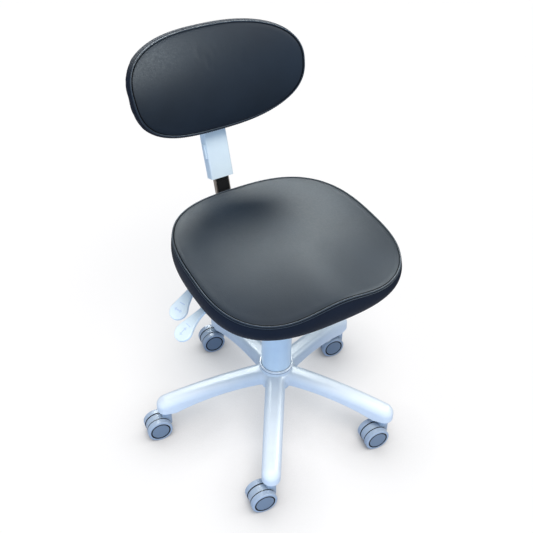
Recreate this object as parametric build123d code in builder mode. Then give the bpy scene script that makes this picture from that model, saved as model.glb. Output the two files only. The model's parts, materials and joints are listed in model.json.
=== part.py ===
from build123d import *
import os
from math import acos, atan2, copysign, cos, degrees, hypot, radians, sin, sqrt, tan

# A height-adjustable clinic chair: a five-armed base on twin-wheel casters, a gas column, a lever
# mechanism, a dished seat and a small wrapped backrest that tilts and slides on a flat steel stem.
# Millimetres. Z is up, the floor is z = 0, the column's axis is the origin and the sitter faces -Y.

# Clearances and overruns
running_gap = 0.05  # radial, shaft in bore
flat_gap = 0.1  # between flat faces that slide or turn
slide_gap = 0.25  # round the stem inside its carrier
overrun = 1.0  # how far a cut runs past the face it opens
half_share = 0.5
upward_share = 0.3  # least upward part of the normal of a face that counts as a top

# Base
arm_count = 5
base_turn = 39.0  # direction of the first arm, measured from -Y towards +X
caster_circle_radius = 232.0
hub_diameter = 67.0
hub_top = 142.0
hub_bottom = 96.0
hub_edge_radius = 3.0
arm_root_width = 41.0
arm_end_width = 36.0
arm_root_top = 132.0
arm_middle_top = 122.0
arm_end_top = 98.0
arm_nose_top = 84.0
arm_root_bottom = 100.0
arm_middle_bottom = 96.0
arm_end_bottom = 66.0
arm_edge_radius = 14.0
arm_foot_radius = 2.5
arm_corner_radius = 9.0  # between neighbouring arms
arm_wall = 4.0
arm_rib_thickness = 3.0
arm_rib_spacing = 52.0
arm_rib_count = 3
hub_wall = 5.0
stem_boss_diameter = 24.0

# Casters
wheel_diameter = 51.0
wheel_width = 12.0
tyre_thickness = 4.5
tyre_edge_radius = 1.6
hood_width = 14.0
hood_radius = 24.3
hood_floor_gap = 3.0
wheel_hood_gap = 1.2
caster_trail = 20.0
caster_turn = 172.0  # direction of the trail, measured from +X
neck_diameter = 20.0
neck_bottom = 50.0
neck_top = 60.0
axle_diameter = 8.0
axle_cover = 3.0  # wheel material left outside the axle's end
cap_radius = 16.5
cap_recess = 0.8
cap_groove_width = 2.2
cap_groove_depth = 1.6
rim_chamfer = 0.8
stem_diameter = 11.0
stem_socket_depth = 26.0
stem_collar_diameter = 18.0
stem_insertion = 18.0

# Column and gas spring
column_diameter = 60.0
column_wall = 2.5
column_bottom = 84.0
column_floor = 4.0
column_top = 296.0
bush_length = 66.0
bush_flange = 4.0
cylinder_diameter = 28.0
cylinder_wall = 2.0
cylinder_bottom = 140.0
cylinder_top = 370.0
gland_length = 8.0
cylinder_cap = 12.0
rod_diameter = 10.0
rod_bottom = 78.0
piston_bottom = 262.0
piston_height = 10.0
bearing_diameter = 30.0
bearing_height = 5.0
bearing_groove = 0.8
rod_collar_diameter = 22.0
rod_collar_height = 3.0
clip_diameter = 20.0
clip_height = 2.0
clip_opening = 5.0
pin_diameter = 6.0
pin_top = 377.0
pin_depth = 9.0

# Mechanism
housing_half_width = 55.0
housing_front = -75.0
housing_rear = 120.0
housing_bottom = 346.0
housing_top = 388.0
housing_wall = 3.0
housing_corner_radius = 14.0
housing_edge_radius = 5.0
socket_diameter = 42.0
socket_top = 366.0
plate_thickness = 4.0
plate_half_width = 95.0
plate_front = -85.0
plate_rear = 125.0
plate_corner_radius = 20.0
bolt_diameter = 6.0
bolt_head_diameter = 12.0
bolt_head_height = 4.0
bolt_inset = 14.0
bolt_end_cover = 2.0

# Levers
lever_pin_x = -30.0
lever_pin_z = 368.0
lever_pin_diameter = 8.0
lever_barrel_diameter = 14.0
lever_thickness = 7.0
lever_arm_width = 14.0
lever_elbow_x = -120.0
lever_edge_radius = 2.4
paddle_radius = 18.5
paddle_droop = 32.0  # degrees that the blade falls below the arm, from its neck outward
paddle_neck_length = 52.0
paddle_shoulder_turn = 60.0  # degrees from the neck's line to where the hollow side starts
height_paddle = (-212.3, -20.9)  # middle of the paddle before its blade is bent down
height_elbow_y = -8.0
height_barrel = (-10.0, 46.0)
height_arm_y = 22.0
finger_width = 12.0
finger_thickness = 4.5
finger_reach = 4.0
back_paddle = (-195.3, 32.8)
back_elbow_y = 60.0
back_barrel = (84.5, 114.0)
back_arm_y = 104.0
back_finger_tip_x = -18.5
slot_height = 22.0
slot_margin = 4.0
spring_width = 10.0
spring_thickness = 1.0
spring_foot = 13.0
spring_rise = 9.0
spring_reach = 16.0
spring_bend_radius = 3.0

# Back stem
tilt_axis_y = 75.0
tilt_axis_z = 366.0
tilt_pin_diameter = 12.0
tilt_barrel_diameter = 26.0
washer_diameter = 24.0
washer_thickness = 3.0
stem_width = 30.0
stem_thickness = 10.0
stem_bend_radius = 38.0
stem_slot_margin = 3.0
back_lean = 18.0
carrier_foot_y = 210.5  # foot of the carrier's front face
carrier_foot_z = 467.3
stem_setback = 7.0  # from the carrier's front face to the steel bar
stem_top = 120.0
rack_thickness = 2.0
rack_width = 25.0
rack_foot_gap = 1.0  # above the end of the stem's bend
rack_notch_pitch = 19.0
rack_notch_height = 2.2
rack_notch_depth = 0.9

# Back carrier
carrier_width = 47.0
carrier_depth = 24.0
carrier_height = 232.0
carrier_edge_radius = 3.0
carrier_bore_top = 150.0
button_foot = 42.0
button_height = 28.0
button_depth = 11.0
button_proud = 2.5
button_travel = 2.0
button_edge_radius = 1.0
back_bolt_low = 165.0
back_bolt_spacing = 50.0

# Seat cushion
seat_half_width = 185.0
seat_front = 200.0
seat_rear = 163.0
seat_widest_y = -33.0
seat_side_bow = 20.0
seat_end_bow = 20.0
seat_corner_radius = 138.0
seat_bottom = 404.0
seat_crown_rise = 71.0  # from the foot up to the crown
seat_bulge = 4.4
seat_bulge_rise_share = 0.34  # of the crown's rise
seat_tuck = 7.0
seat_seam_inset = 0.5
seat_seam_rise_share = 0.73
seat_top_inset = 6.0
seat_top_rise_share = 1.24
seat_edge_radius = 7.0
seat_shell_thickness = 12.0
seat_shell_inset = 26.0
seat_shell_edge_radius = 3.0
# The top is drawn through profiles from side to side. Each row gives how far the profile's front end,
# its summit and its rear end lie below the crown, as shares of the crown's rise.
seat_station_shares = (-1.08, -0.65, -0.32, 0.0, 0.32, 0.65, 1.08)
seat_front_drop_shares = (0.55, 0.478, 0.324, 0.269, 0.324, 0.478, 0.55)
seat_side_drop_shares = (0.253, 0.071, 0.015, 0.0, 0.015, 0.071, 0.253)
seat_rear_drop_shares = (0.268, 0.155, 0.112, 0.099, 0.112, 0.155, 0.268)
seat_crown_y = -15.0

# Backrest
pad_centre = 194.0  # up the lean, from the carrier's foot
pad_half_width = 170.0
pad_half_height = 93.0
pad_squareness = 2.53  # power of the oval: 2 is an ellipse
pad_top_spread = 0.05  # share by which the top is wider and the foot narrower
pad_outline_points = 32
pad_seam_setback = 12.0  # how far the top and bottom edges fall behind the seam's middle level
pad_seam_level = 32.0
pad_crown = 8.0
pad_thickness = 18.0
pad_back_radius = 357.0
pad_wrap_growth = 52.0  # how much larger the front's radius is than the back's
pad_front_edge_radius = 7.0
pad_back_edge_radius = 5.0
board_thickness = 8.0
board_inset = 9.0
shell_thickness = 5.0
shell_inset = 4.0
shell_edge_radius = 4.0
board_gap = 0.2
boss_half_width = 20.0
boss_margin = 15.0

# Derived places
wheel_radius = wheel_diameter / 2
shell_bottom = seat_bottom - seat_shell_thickness
plate_bottom = shell_bottom - plate_thickness
lean_up = (0, sin(radians(back_lean)), cos(radians(back_lean)))
lean_front = (0, -cos(radians(back_lean)), sin(radians(back_lean)))
back_frame = Plane(origin=(0, carrier_foot_y, carrier_foot_z), x_dir=(1, 0, 0), z_dir=lean_front)
pad_back_level = pad_seam_level - pad_thickness
board_back_level = pad_back_level - board_thickness
shell_back_level = board_back_level - shell_thickness

os.makedirs("parts", exist_ok=True)


def save(builder, name):
    """Labels a finished piece and writes its file."""
    builder.part.label = name
    export_step(builder.part, f"parts/{name}.step")


def middle(edge):
    """Point halfway along an edge."""
    return edge.position_at(half_share)


def bowed_outline(half_width, front, rear, side_bow, end_bow, corner_radius, widest=0.0):
    """Closes four shallow arcs round the origin, to be filleted at their corners."""
    near = -(front - end_bow)
    far = rear - end_bow
    side = half_width - side_bow
    with BuildLine() as outline:
        ThreePointArc((-side, near), (0, -front), (side, near))
        ThreePointArc((side, near), (half_width, widest), (side, far))
        ThreePointArc((side, far), (0, rear), (-side, far))
        ThreePointArc((-side, far), (-half_width, widest), (-side, near))
    make_face(outline.edges())
    fillet(vertices(), corner_radius)


def arm_angle(index):
    """Direction of one arm, measured from +X."""
    return base_turn - 90 + index * 360 / arm_count


def caster_frame(index):
    """Frame of one caster: its origin is on the floor under the stem, and X runs along the trail."""
    turn = radians(arm_angle(index))
    trail = radians(caster_turn)
    return Plane(
        origin=(caster_circle_radius * cos(turn), caster_circle_radius * sin(turn), 0),
        x_dir=(cos(trail), sin(trail), 0),
        z_dir=(0, 0, 1),
    )


def wheel_frame(index):
    """Frame on the axle's middle: X along the trail, Y up and Z along the axle."""
    frame = caster_frame(index)
    centre = frame.from_local_coords(Vector(caster_trail, 0, wheel_radius))
    return Plane(origin=centre, x_dir=frame.x_dir, z_dir=-frame.y_dir)


def arm_point(index, along, across):
    """Place on one arm: along it from the axis, and across it."""
    turn = radians(arm_angle(index))
    return along * cos(turn) - across * sin(turn), along * sin(turn) + across * cos(turn)


def facing(builder, way):
    """Faces of a piece that look up (way 1) or down (way -1)."""
    return [face for face in builder.faces() if face.normal_at().Z * way > upward_share]


def border(faces):
    """Edges that belong to only one of the faces."""
    edges = [edge for face in faces for edge in face.edges()]
    return [edge for edge in edges if sum(edge.is_same(other) for other in edges) == 1]


def star_block(inset):
    """Extrudes the five arms' plan, drawn in by inset, with rounded corners between the arms."""
    root = arm_root_width / 2 - inset
    end = arm_end_width / 2 - inset
    with BuildSketch(Plane.XY) as star:
        for index in range(arm_count):
            left = arm_point(index, caster_circle_radius, end)
            right = arm_point(index, caster_circle_radius, -end)
            with BuildLine() as plan:
                Polyline(left, arm_point(index, 0, root), arm_point(index, 0, -root), right)
                ThreePointArc(right, arm_point(index, caster_circle_radius + end, 0), left)
            make_face(plan.edges())
        roots = [point for point in star.vertices() if hypot(point.X, point.Y) < caster_circle_radius / 2]
        fillet(roots, arm_corner_radius + inset)
    extrude(star.sketch, amount=hub_top)


def arch_block(drop, foot_drop):
    """Keeps what lies inside the arms' turned profile, its top lowered by drop and its foot by foot_drop."""
    reach = caster_circle_radius + arm_end_width / 2 + overrun
    nose = caster_circle_radius - arm_end_width / 2
    with BuildSketch(Plane.XZ) as side:
        with BuildLine() as profile:
            ridge = ThreePointArc(
                (0, arm_root_top - drop),
                (caster_circle_radius / 2, arm_middle_top - drop),
                (caster_circle_radius, arm_end_top - drop),
            )
            TangentArc(
                (caster_circle_radius, arm_end_top - drop),
                (reach, arm_nose_top - drop),
                tangent=ridge.tangent_at(1),
            )
            Polyline(
                (reach, arm_nose_top - drop),
                (reach, arm_end_bottom - foot_drop),
                (nose, arm_end_bottom - foot_drop),
            )
            ThreePointArc(
                (nose, arm_end_bottom - foot_drop),
                (caster_circle_radius / 2, arm_middle_bottom - foot_drop),
                (0, arm_root_bottom - foot_drop),
            )
            Line((0, arm_root_bottom - foot_drop), (0, arm_root_top - drop))
        make_face(profile.edges())
    revolve(side.sketch, axis=Axis.Z, mode=Mode.INTERSECT)


# Hollow of the base: follows the arms inside their wall, and leaves ribs, stem bosses and the hub's wall
with BuildPart() as base_hollow:
    star_block(arm_wall)
    arch_block(arm_wall, arm_edge_radius)
    fillet(border(facing(base_hollow, 1)), arm_edge_radius - arm_wall)
    with BuildSketch(Plane.XY):
        Circle(column_diameter / 2 + hub_wall)
        for index in range(arm_count):
            with Locations(arm_point(index, caster_circle_radius, 0)):
                Circle(stem_boss_diameter / 2)
            for rib in range(arm_rib_count):
                rib_middle = arm_point(index, caster_circle_radius - (rib + 1) * arm_rib_spacing, 0)
                with Locations(Location(rib_middle, arm_angle(index))):
                    Rectangle(arm_rib_thickness, arm_root_width)
    extrude(amount=hub_top, mode=Mode.SUBTRACT)

# Base: one casting of five arched arms with rounded, down-turned noses, and a hub that holds the column
with BuildPart() as base_star:
    star_block(0)
    arch_block(0, 0)
    fillet(border(facing(base_star, 1)), arm_edge_radius)
    fillet(border(facing(base_star, -1)), arm_foot_radius)
    add(base_hollow.part, mode=Mode.SUBTRACT)
    with BuildSketch(Plane.XY.offset(hub_bottom)):
        Circle(hub_diameter / 2)
    extrude(amount=hub_top - hub_bottom)
    fillet(base_star.edges().group_by(Axis.Z)[-1], hub_edge_radius)
    with Locations((0, 0, hub_top)):
        Hole(column_diameter / 2)
    for index in range(arm_count):
        with BuildSketch(caster_frame(index).offset(arm_end_bottom)):
            Circle(stem_diameter / 2)
        extrude(amount=stem_socket_depth, mode=Mode.SUBTRACT)
save(base_star, "base_star")

# Caster stems: five turned pins with a collar under the arm end
with BuildPart() as caster_stems:
    for index in range(arm_count):
        frame = caster_frame(index)
        with BuildSketch(frame.offset(neck_top - stem_insertion)):
            Circle(stem_diameter / 2)
        extrude(amount=arm_end_bottom + stem_socket_depth - neck_top + stem_insertion)
        with BuildSketch(frame.offset(neck_top + flat_gap)):
            Circle(stem_collar_diameter / 2)
        extrude(amount=arm_end_bottom - neck_top - flat_gap)
save(caster_stems, "caster_stems")

# Casters: a hood with its neck, an axle, and two wheels with moulded tyres
wheel_inner = hood_width / 2 + wheel_hood_gap
wheel_outer = wheel_inner + wheel_width
core_radius = wheel_radius - tyre_thickness
groove_outer = cap_radius + cap_groove_width
for index in range(arm_count):
    number = index + 1
    frame = caster_frame(index)
    wheels = wheel_frame(index)
    flat_level = hood_floor_gap - wheel_radius
    with BuildPart() as fork:
        with BuildSketch(wheels):
            Circle(hood_radius)
            with Locations((0, flat_level - hood_radius)):
                Rectangle(2 * hood_radius, 2 * hood_radius, mode=Mode.SUBTRACT)
            with Locations((-caster_trail, (neck_top - wheel_radius) / 2)):
                Rectangle(neck_diameter, neck_top - wheel_radius)
        extrude(amount=hood_width / 2, both=True)
        with BuildSketch(frame.offset(neck_bottom)):
            Circle(neck_diameter / 2)
        extrude(amount=neck_top - neck_bottom)
        with BuildSketch(frame.offset(neck_top - neck_diameter - stem_insertion)):
            Circle(neck_diameter / 2)
            Rectangle(neck_diameter + overrun, neck_diameter + overrun)
            Circle(neck_diameter / 2, mode=Mode.SUBTRACT)
            with Locations((neck_diameter / 2, 0)):
                Rectangle(neck_diameter, 2 * neck_diameter, mode=Mode.SUBTRACT)
        extrude(amount=2 * neck_diameter + stem_insertion, mode=Mode.SUBTRACT)
        with BuildSketch(frame.offset(neck_top - stem_insertion - flat_gap)):
            Circle(stem_diameter / 2 + running_gap)
        extrude(amount=stem_insertion + overrun, mode=Mode.SUBTRACT)
        with BuildSketch(wheels):
            Circle(axle_diameter / 2)
        extrude(amount=hood_width, both=True, mode=Mode.SUBTRACT)
    save(fork, f"caster_{number}_fork")
    with BuildPart() as axle:
        with BuildSketch(wheels):
            Circle(axle_diameter / 2)
        extrude(amount=wheel_outer - axle_cover - flat_gap, both=True)
        chamfer(axle.edges().filter_by(GeomType.CIRCLE), rim_chamfer)
    save(axle, f"caster_{number}_axle")
    for side, sign in (("left", -1), ("right", 1)):
        outward = Plane(origin=wheels.origin, x_dir=wheels.x_dir, z_dir=wheels.z_dir * sign)
        section = Plane(origin=outward.origin, x_dir=outward.x_dir, z_dir=-outward.y_dir)
        spin = Axis(outward.origin, outward.z_dir)
        with BuildPart() as wheel:
            with BuildSketch(section):
                with BuildLine():
                    Polyline(
                        (axle_diameter / 2 + running_gap, wheel_inner),
                        (core_radius, wheel_inner),
                        (core_radius, wheel_outer),
                        (groove_outer + rim_chamfer, wheel_outer),
                        (groove_outer, wheel_outer - rim_chamfer),
                        (groove_outer, wheel_outer - cap_groove_depth),
                        (cap_radius, wheel_outer - cap_groove_depth),
                        (cap_radius, wheel_outer - cap_recess),
                        (0, wheel_outer - cap_recess),
                        (0, wheel_outer - axle_cover),
                        (axle_diameter / 2 + running_gap, wheel_outer - axle_cover),
                        close=True,
                    )
                make_face()
            revolve(axis=spin)
        save(wheel, f"caster_{number}_wheel_{side}")
        with BuildPart() as tyre:
            with BuildSketch(section):
                with Locations(((core_radius + wheel_radius) / 2, (wheel_inner + wheel_outer) / 2)):
                    tread = Rectangle(tyre_thickness, wheel_width)
                fillet(tread.vertices().group_by(Axis((0, 0, 0), section.x_dir))[-1], tyre_edge_radius)
            revolve(axis=spin)
        save(tyre, f"caster_{number}_tyre_{side}")

# Column tube with a floor for the rod
with BuildPart() as column_tube:
    with BuildSketch(Plane.XY.offset(column_bottom)):
        Circle(column_diameter / 2)
    extrude(amount=column_top - column_bottom)
    with BuildSketch(Plane.XY.offset(column_bottom + column_floor)):
        Circle(column_diameter / 2 - column_wall)
    extrude(amount=column_top - column_bottom, mode=Mode.SUBTRACT)
    with Locations((0, 0, column_top)):
        Hole(rod_diameter / 2 + flat_gap)
save(column_tube, "column_tube")

# Guide bush with a flange that closes the tube's mouth
with BuildPart() as column_bush:
    with BuildSketch(Plane.XY.offset(column_top - bush_length)):
        Circle(column_diameter / 2 - column_wall)
    extrude(amount=bush_length)
    with BuildSketch(Plane.XY.offset(column_top)):
        Circle(column_diameter / 2)
    extrude(amount=bush_flange)
    chamfer(column_bush.edges().group_by(Axis.Z)[-1], bush_flange / 3)
    with Locations((0, 0, column_top + bush_flange)):
        Hole(cylinder_diameter / 2 + running_gap)
save(column_bush, "column_bush")

# Thrust bearing on the column's floor
bearing_bottom = column_bottom + column_floor
with BuildPart() as thrust_bearing:
    with BuildSketch(Plane.XZ):
        with BuildLine():
            inner = rod_diameter / 2 + flat_gap
            outer = bearing_diameter / 2
            waist = bearing_bottom + bearing_height / 2
            Polyline(
                (inner, bearing_bottom),
                (outer, bearing_bottom),
                (outer, waist - bearing_groove),
                (outer - bearing_groove, waist),
                (outer, waist + bearing_groove),
                (outer, bearing_bottom + bearing_height),
                (inner, bearing_bottom + bearing_height),
                close=True,
            )
        make_face()
    revolve(axis=Axis.Z)
save(thrust_bearing, "thrust_bearing")

# Gas spring rod with its collar and piston
collar_bottom = bearing_bottom + bearing_height + flat_gap
bore_radius = cylinder_diameter / 2 - cylinder_wall
with BuildPart() as gas_rod:
    with BuildSketch(Plane.XY.offset(rod_bottom)):
        Circle(rod_diameter / 2)
    extrude(amount=piston_bottom - rod_bottom)
    with BuildSketch(Plane.XY.offset(collar_bottom)):
        Circle(rod_collar_diameter / 2)
    extrude(amount=rod_collar_height)
    with BuildSketch(Plane.XY.offset(piston_bottom)):
        Circle(bore_radius - running_gap)
    extrude(amount=piston_height)
save(gas_rod, "gas_rod")

# Clip that holds the rod under the column's floor
with BuildPart() as rod_clip:
    with BuildSketch(Plane.XY.offset(column_bottom - flat_gap - clip_height)):
        Circle(clip_diameter / 2)
        Circle(rod_diameter / 2, mode=Mode.SUBTRACT)
        with Locations((0, -clip_diameter / 2)):
            Rectangle(clip_opening, clip_diameter, mode=Mode.SUBTRACT)
    extrude(amount=clip_height)
save(rod_clip, "rod_clip")

# Gas spring cylinder, closed at the top except for the valve pin's bore
with BuildPart() as gas_cylinder:
    with BuildSketch(Plane.XZ):
        with BuildLine():
            pin_bore = pin_diameter / 2 + running_gap
            rod_bore = rod_diameter / 2 + running_gap
            Polyline(
                (rod_bore, cylinder_bottom),
                (cylinder_diameter / 2, cylinder_bottom),
                (cylinder_diameter / 2, cylinder_top),
                (pin_bore, cylinder_top),
                (pin_bore, cylinder_top - cylinder_cap),
                (bore_radius, cylinder_top - cylinder_cap),
                (bore_radius, cylinder_bottom + gland_length),
                (rod_bore, cylinder_bottom + gland_length),
                close=True,
            )
        make_face()
    revolve(axis=Axis.Z)
save(gas_cylinder, "gas_cylinder")

# Valve pin with a round head, which the height lever presses
with BuildPart() as release_pin:
    with BuildSketch(Plane.XZ):
        with BuildLine():
            tip = pin_diameter / 2
            pin_foot = cylinder_top - pin_depth
            Polyline((0, pin_top), (0, pin_foot), (tip, pin_foot), (tip, pin_top - tip))
            RadiusArc((tip, pin_top - tip), (0, pin_top), -tip)
        make_face()
    revolve(axis=Axis.Z)
save(release_pin, "release_pin")


def lever_line(paddle, elbow_y):
    """Unit vector from a lever's elbow to its paddle."""
    run_x = paddle[0] - lever_elbow_x
    run_y = paddle[1] - elbow_y
    span = hypot(run_x, run_y)
    return run_x / span, run_y / span


def lever_spoon(paddle, elbow_y):
    """Builds a rounded paddle, bent down at its neck: one side runs straight in, the other is hollowed."""
    along_x, along_y = lever_line(paddle, elbow_y)
    half = lever_arm_width / 2

    def place(along, aside):
        return paddle[0] + along * along_x - aside * along_y, paddle[1] + along * along_y + aside * along_x

    reach = hypot(paddle_neck_length, half)
    touch = atan2(-half, -paddle_neck_length) + acos(paddle_radius / reach)
    straight = place(paddle_radius * cos(touch), paddle_radius * sin(touch))
    shoulder = radians(180 - paddle_shoulder_turn)
    hollow = place(paddle_radius * cos(shoulder), paddle_radius * sin(shoulder))
    heading = (
        -sin(shoulder) * along_x - cos(shoulder) * along_y,
        -sin(shoulder) * along_y + cos(shoulder) * along_x,
    )
    with BuildSketch(Plane.XY.offset(lever_bottom)) as plan:
        with BuildLine():
            Line(place(-paddle_neck_length, -half), straight)
            ThreePointArc(straight, place(paddle_radius, 0), hollow)
            TangentArc(hollow, place(-paddle_neck_length, half), tangent=heading)
            Line(place(-paddle_neck_length, half), place(-paddle_neck_length, -half))
        make_face()
    blade = Solid.extrude(plan.sketch.face(), Vector(0, 0, lever_thickness))
    neck = Vector(*place(-paddle_neck_length, 0), lever_bottom + lever_thickness / 2)
    across = Vector(-along_y, along_x, 0)
    rims = [
        edge
        for edge in blade.edges()
        if abs(middle(edge).Z - lever_bottom - lever_thickness / 2) > lever_edge_radius / 2
        and hypot(middle(edge).X - neck.X, middle(edge).Y - neck.Y) > half
    ]
    bent = blade.fillet(lever_edge_radius, rims).rotate(Axis(neck, across), paddle_droop)
    knee_frame = Plane(origin=neck - across * half, z_dir=across)
    knee = Solid.make_cylinder(lever_thickness / 2, lever_arm_width, knee_frame)
    return [bent, knee]


def lever_arm(paddle, elbow_y, arm_y):
    """Draws the bar from the barrel to the elbow and on to the paddle's neck."""
    along_x, along_y = lever_line(paddle, elbow_y)
    neck = (paddle[0] - along_x * paddle_neck_length, paddle[1] - along_y * paddle_neck_length)
    start = (lever_pin_x - lever_barrel_diameter / 4, arm_y)
    elbow = (lever_elbow_x, elbow_y)
    for low, high in ((start, elbow), (elbow, neck)):
        span = hypot(high[0] - low[0], high[1] - low[1])
        middle = ((low[0] + high[0]) / 2, (low[1] + high[1]) / 2)
        with Locations(Location(middle, degrees(atan2(high[1] - low[1], high[0] - low[0])))):
            Rectangle(span, lever_arm_width)
    with Locations(elbow):
        Circle(lever_arm_width / 2)


def lever_barrel(span):
    """Adds the tube that turns on the lever's pin."""
    with BuildSketch(Plane.XZ.offset(-span[0])) as ring:
        with Locations((lever_pin_x, lever_pin_z)):
            Circle(lever_barrel_diameter / 2)
    extrude(ring.sketch, amount=span[0] - span[1])


def lever_bore():
    """Cuts the running bore for the lever's pin."""
    with BuildSketch(Plane.XZ.offset(-housing_rear)) as bore:
        with Locations((lever_pin_x, lever_pin_z)):
            Circle(lever_pin_diameter / 2 + running_gap)
    extrude(bore.sketch, amount=housing_rear - housing_front, mode=Mode.SUBTRACT)


lever_bottom = lever_pin_z - lever_barrel_diameter / 2
finger_bottom = pin_top + flat_gap

# Height lever: its inner finger lies over the valve pin
with BuildPart() as height_lever:
    with BuildSketch(Plane.XY.offset(lever_bottom)):
        lever_arm(height_paddle, height_elbow_y, height_arm_y)
    extrude(amount=lever_thickness)
    add(lever_spoon(height_paddle, height_elbow_y))
    lever_barrel(height_barrel)
    with BuildSketch(Plane.XY.offset(finger_bottom)):
        with Locations(((lever_pin_x + finger_reach) / 2, 0)):
            Rectangle(finger_reach - lever_pin_x, finger_width)
    extrude(amount=finger_thickness)
    with BuildSketch(Plane.XY.offset(lever_pin_z)):
        with Locations((lever_pin_x, 0)):
            Rectangle(lever_barrel_diameter, finger_width)
    extrude(amount=finger_bottom + finger_thickness - lever_pin_z)
    lever_bore()
save(height_lever, "height_lever")

# Back lever: its short finger frees the tilt clamp
with BuildPart() as back_lever:
    with BuildSketch(Plane.XY.offset(lever_bottom)):
        lever_arm(back_paddle, back_elbow_y, back_arm_y)
    extrude(amount=lever_thickness)
    add(lever_spoon(back_paddle, back_elbow_y))
    lever_barrel(back_barrel)
    with BuildSketch(Plane.XY.offset(lever_pin_z - finger_thickness / 2)):
        with Locations(((lever_pin_x + back_finger_tip_x) / 2, sum(back_barrel) / 2)):
            Rectangle(back_finger_tip_x - lever_pin_x, finger_width)
    extrude(amount=finger_thickness)
    lever_bore()
save(back_lever, "back_lever")

# Lever pins, fixed in the housing's cross webs
web_thickness = housing_wall
pin_reach = web_thickness + flat_gap
with BuildPart() as lever_pins:
    for span in (height_barrel, back_barrel):
        with BuildSketch(Plane.XZ.offset(pin_reach - span[0])):
            with Locations((lever_pin_x, lever_pin_z)):
                Circle(lever_pin_diameter / 2)
        extrude(amount=span[0] - span[1] - 2 * pin_reach)
save(lever_pins, "lever_pins")

# Mechanism housing: a pressed tray with a socket, cross webs, lever slots and a rear slot
with BuildPart() as mechanism_housing:
    with BuildSketch(Plane.XY.offset(housing_bottom)):
        with Locations((0, (housing_front + housing_rear) / 2)):
            RectangleRounded(2 * housing_half_width, housing_rear - housing_front, housing_corner_radius)
    extrude(amount=housing_top - housing_bottom)
    fillet(mechanism_housing.edges().group_by(Axis.Z)[0], housing_edge_radius)
    with BuildSketch(Plane.XY.offset(housing_bottom + housing_wall)):
        with Locations((0, (housing_front + housing_rear) / 2)):
            RectangleRounded(
                2 * (housing_half_width - housing_wall),
                housing_rear - housing_front - 2 * housing_wall,
                housing_corner_radius - housing_wall,
            )
    extrude(amount=housing_top - housing_bottom, mode=Mode.SUBTRACT)
    with BuildSketch(Plane.XY.offset(housing_bottom)):
        Circle(socket_diameter / 2)
    extrude(amount=socket_top - housing_bottom)
    web_left = -housing_half_width + housing_wall
    web_right = lever_pin_x + lever_barrel_diameter / 2 - flat_gap
    for edge_y in (height_barrel[0] - flat_gap - web_thickness, height_barrel[1] + flat_gap,
                   back_barrel[0] - flat_gap - web_thickness):
        with BuildSketch(Plane.XY.offset(housing_bottom + housing_wall)):
            with Locations(((web_left + web_right) / 2, edge_y + web_thickness / 2)):
                Rectangle(web_right - web_left, web_thickness)
        extrude(amount=lever_pin_z + lever_barrel_diameter / 2 - housing_bottom - housing_wall)
    with Locations((0, 0, housing_top)):
        Hole(cylinder_diameter / 2)
    for arm_y, elbow_y in ((height_arm_y, height_elbow_y), (back_arm_y, back_elbow_y)):
        slope = (arm_y - elbow_y) / (lever_pin_x - lever_elbow_x)
        mid_y = arm_y + slope * (-housing_half_width - lever_pin_x)
        spread = lever_arm_width * sqrt(1 + slope**2) + 2 * slot_margin
        with BuildSketch(Plane.YZ.offset(-housing_half_width - overrun)):
            with Locations((mid_y, lever_bottom - slot_margin + slot_height / 2)):
                Rectangle(spread, slot_height)
        extrude(amount=housing_wall + 2 * overrun, mode=Mode.SUBTRACT)
    with BuildSketch(Plane.XZ.offset(-housing_rear - overrun)):
        with Locations((0, (housing_bottom + housing_wall + housing_top) / 2)):
            Rectangle(stem_width + 2 * stem_slot_margin, housing_top - housing_bottom - housing_wall)
    extrude(amount=housing_wall + 2 * overrun, mode=Mode.SUBTRACT)
    with BuildSketch(Plane.YZ.offset(-housing_half_width)):
        with Locations((tilt_axis_y, tilt_axis_z)):
            Circle(tilt_pin_diameter / 2)
    extrude(amount=2 * housing_half_width, mode=Mode.SUBTRACT)
    with BuildSketch(Plane.XZ.offset(-housing_rear)):
        with Locations((lever_pin_x, lever_pin_z)):
            Circle(lever_pin_diameter / 2)
    extrude(amount=housing_rear - height_barrel[0] + web_thickness + overrun, mode=Mode.SUBTRACT)
save(mechanism_housing, "mechanism_housing")

# Leaf spring under the back lever
spring_y = back_barrel[0] + spring_width / 2 + flat_gap
with BuildPart() as lever_spring:
    with BuildSketch(Plane.XZ.offset(-spring_y - spring_width / 2)):
        with BuildLine():
            foot_z = housing_bottom + housing_wall
            foot_x = -housing_half_width + housing_wall + spring_thickness
            path = FilletPolyline(
                (foot_x, foot_z + spring_thickness / 2),
                (foot_x + spring_foot, foot_z + spring_thickness / 2),
                (foot_x + spring_foot + spring_reach, foot_z + spring_rise),
                radius=spring_bend_radius,
            )
            offset(path, spring_thickness / 2, side=Side.BOTH)
        make_face()
    extrude(amount=spring_width)
save(lever_spring, "lever_spring")

# Tilt pin across the housing, and its two friction washers
with BuildPart() as tilt_pin:
    with BuildSketch(Plane.YZ.offset(-housing_half_width)):
        with Locations((tilt_axis_y, tilt_axis_z)):
            Circle(tilt_pin_diameter / 2)
    extrude(amount=2 * housing_half_width)
save(tilt_pin, "tilt_pin")
with BuildPart() as friction_washers:
    for start in (stem_width / 2 + flat_gap, -stem_width / 2 - flat_gap - washer_thickness):
        with BuildSketch(Plane.YZ.offset(start)):
            with Locations((tilt_axis_y, tilt_axis_z)):
                Circle(washer_diameter / 2)
                Circle(tilt_pin_diameter / 2, mode=Mode.SUBTRACT)
        extrude(amount=washer_thickness)
save(friction_washers, "friction_washers")

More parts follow.
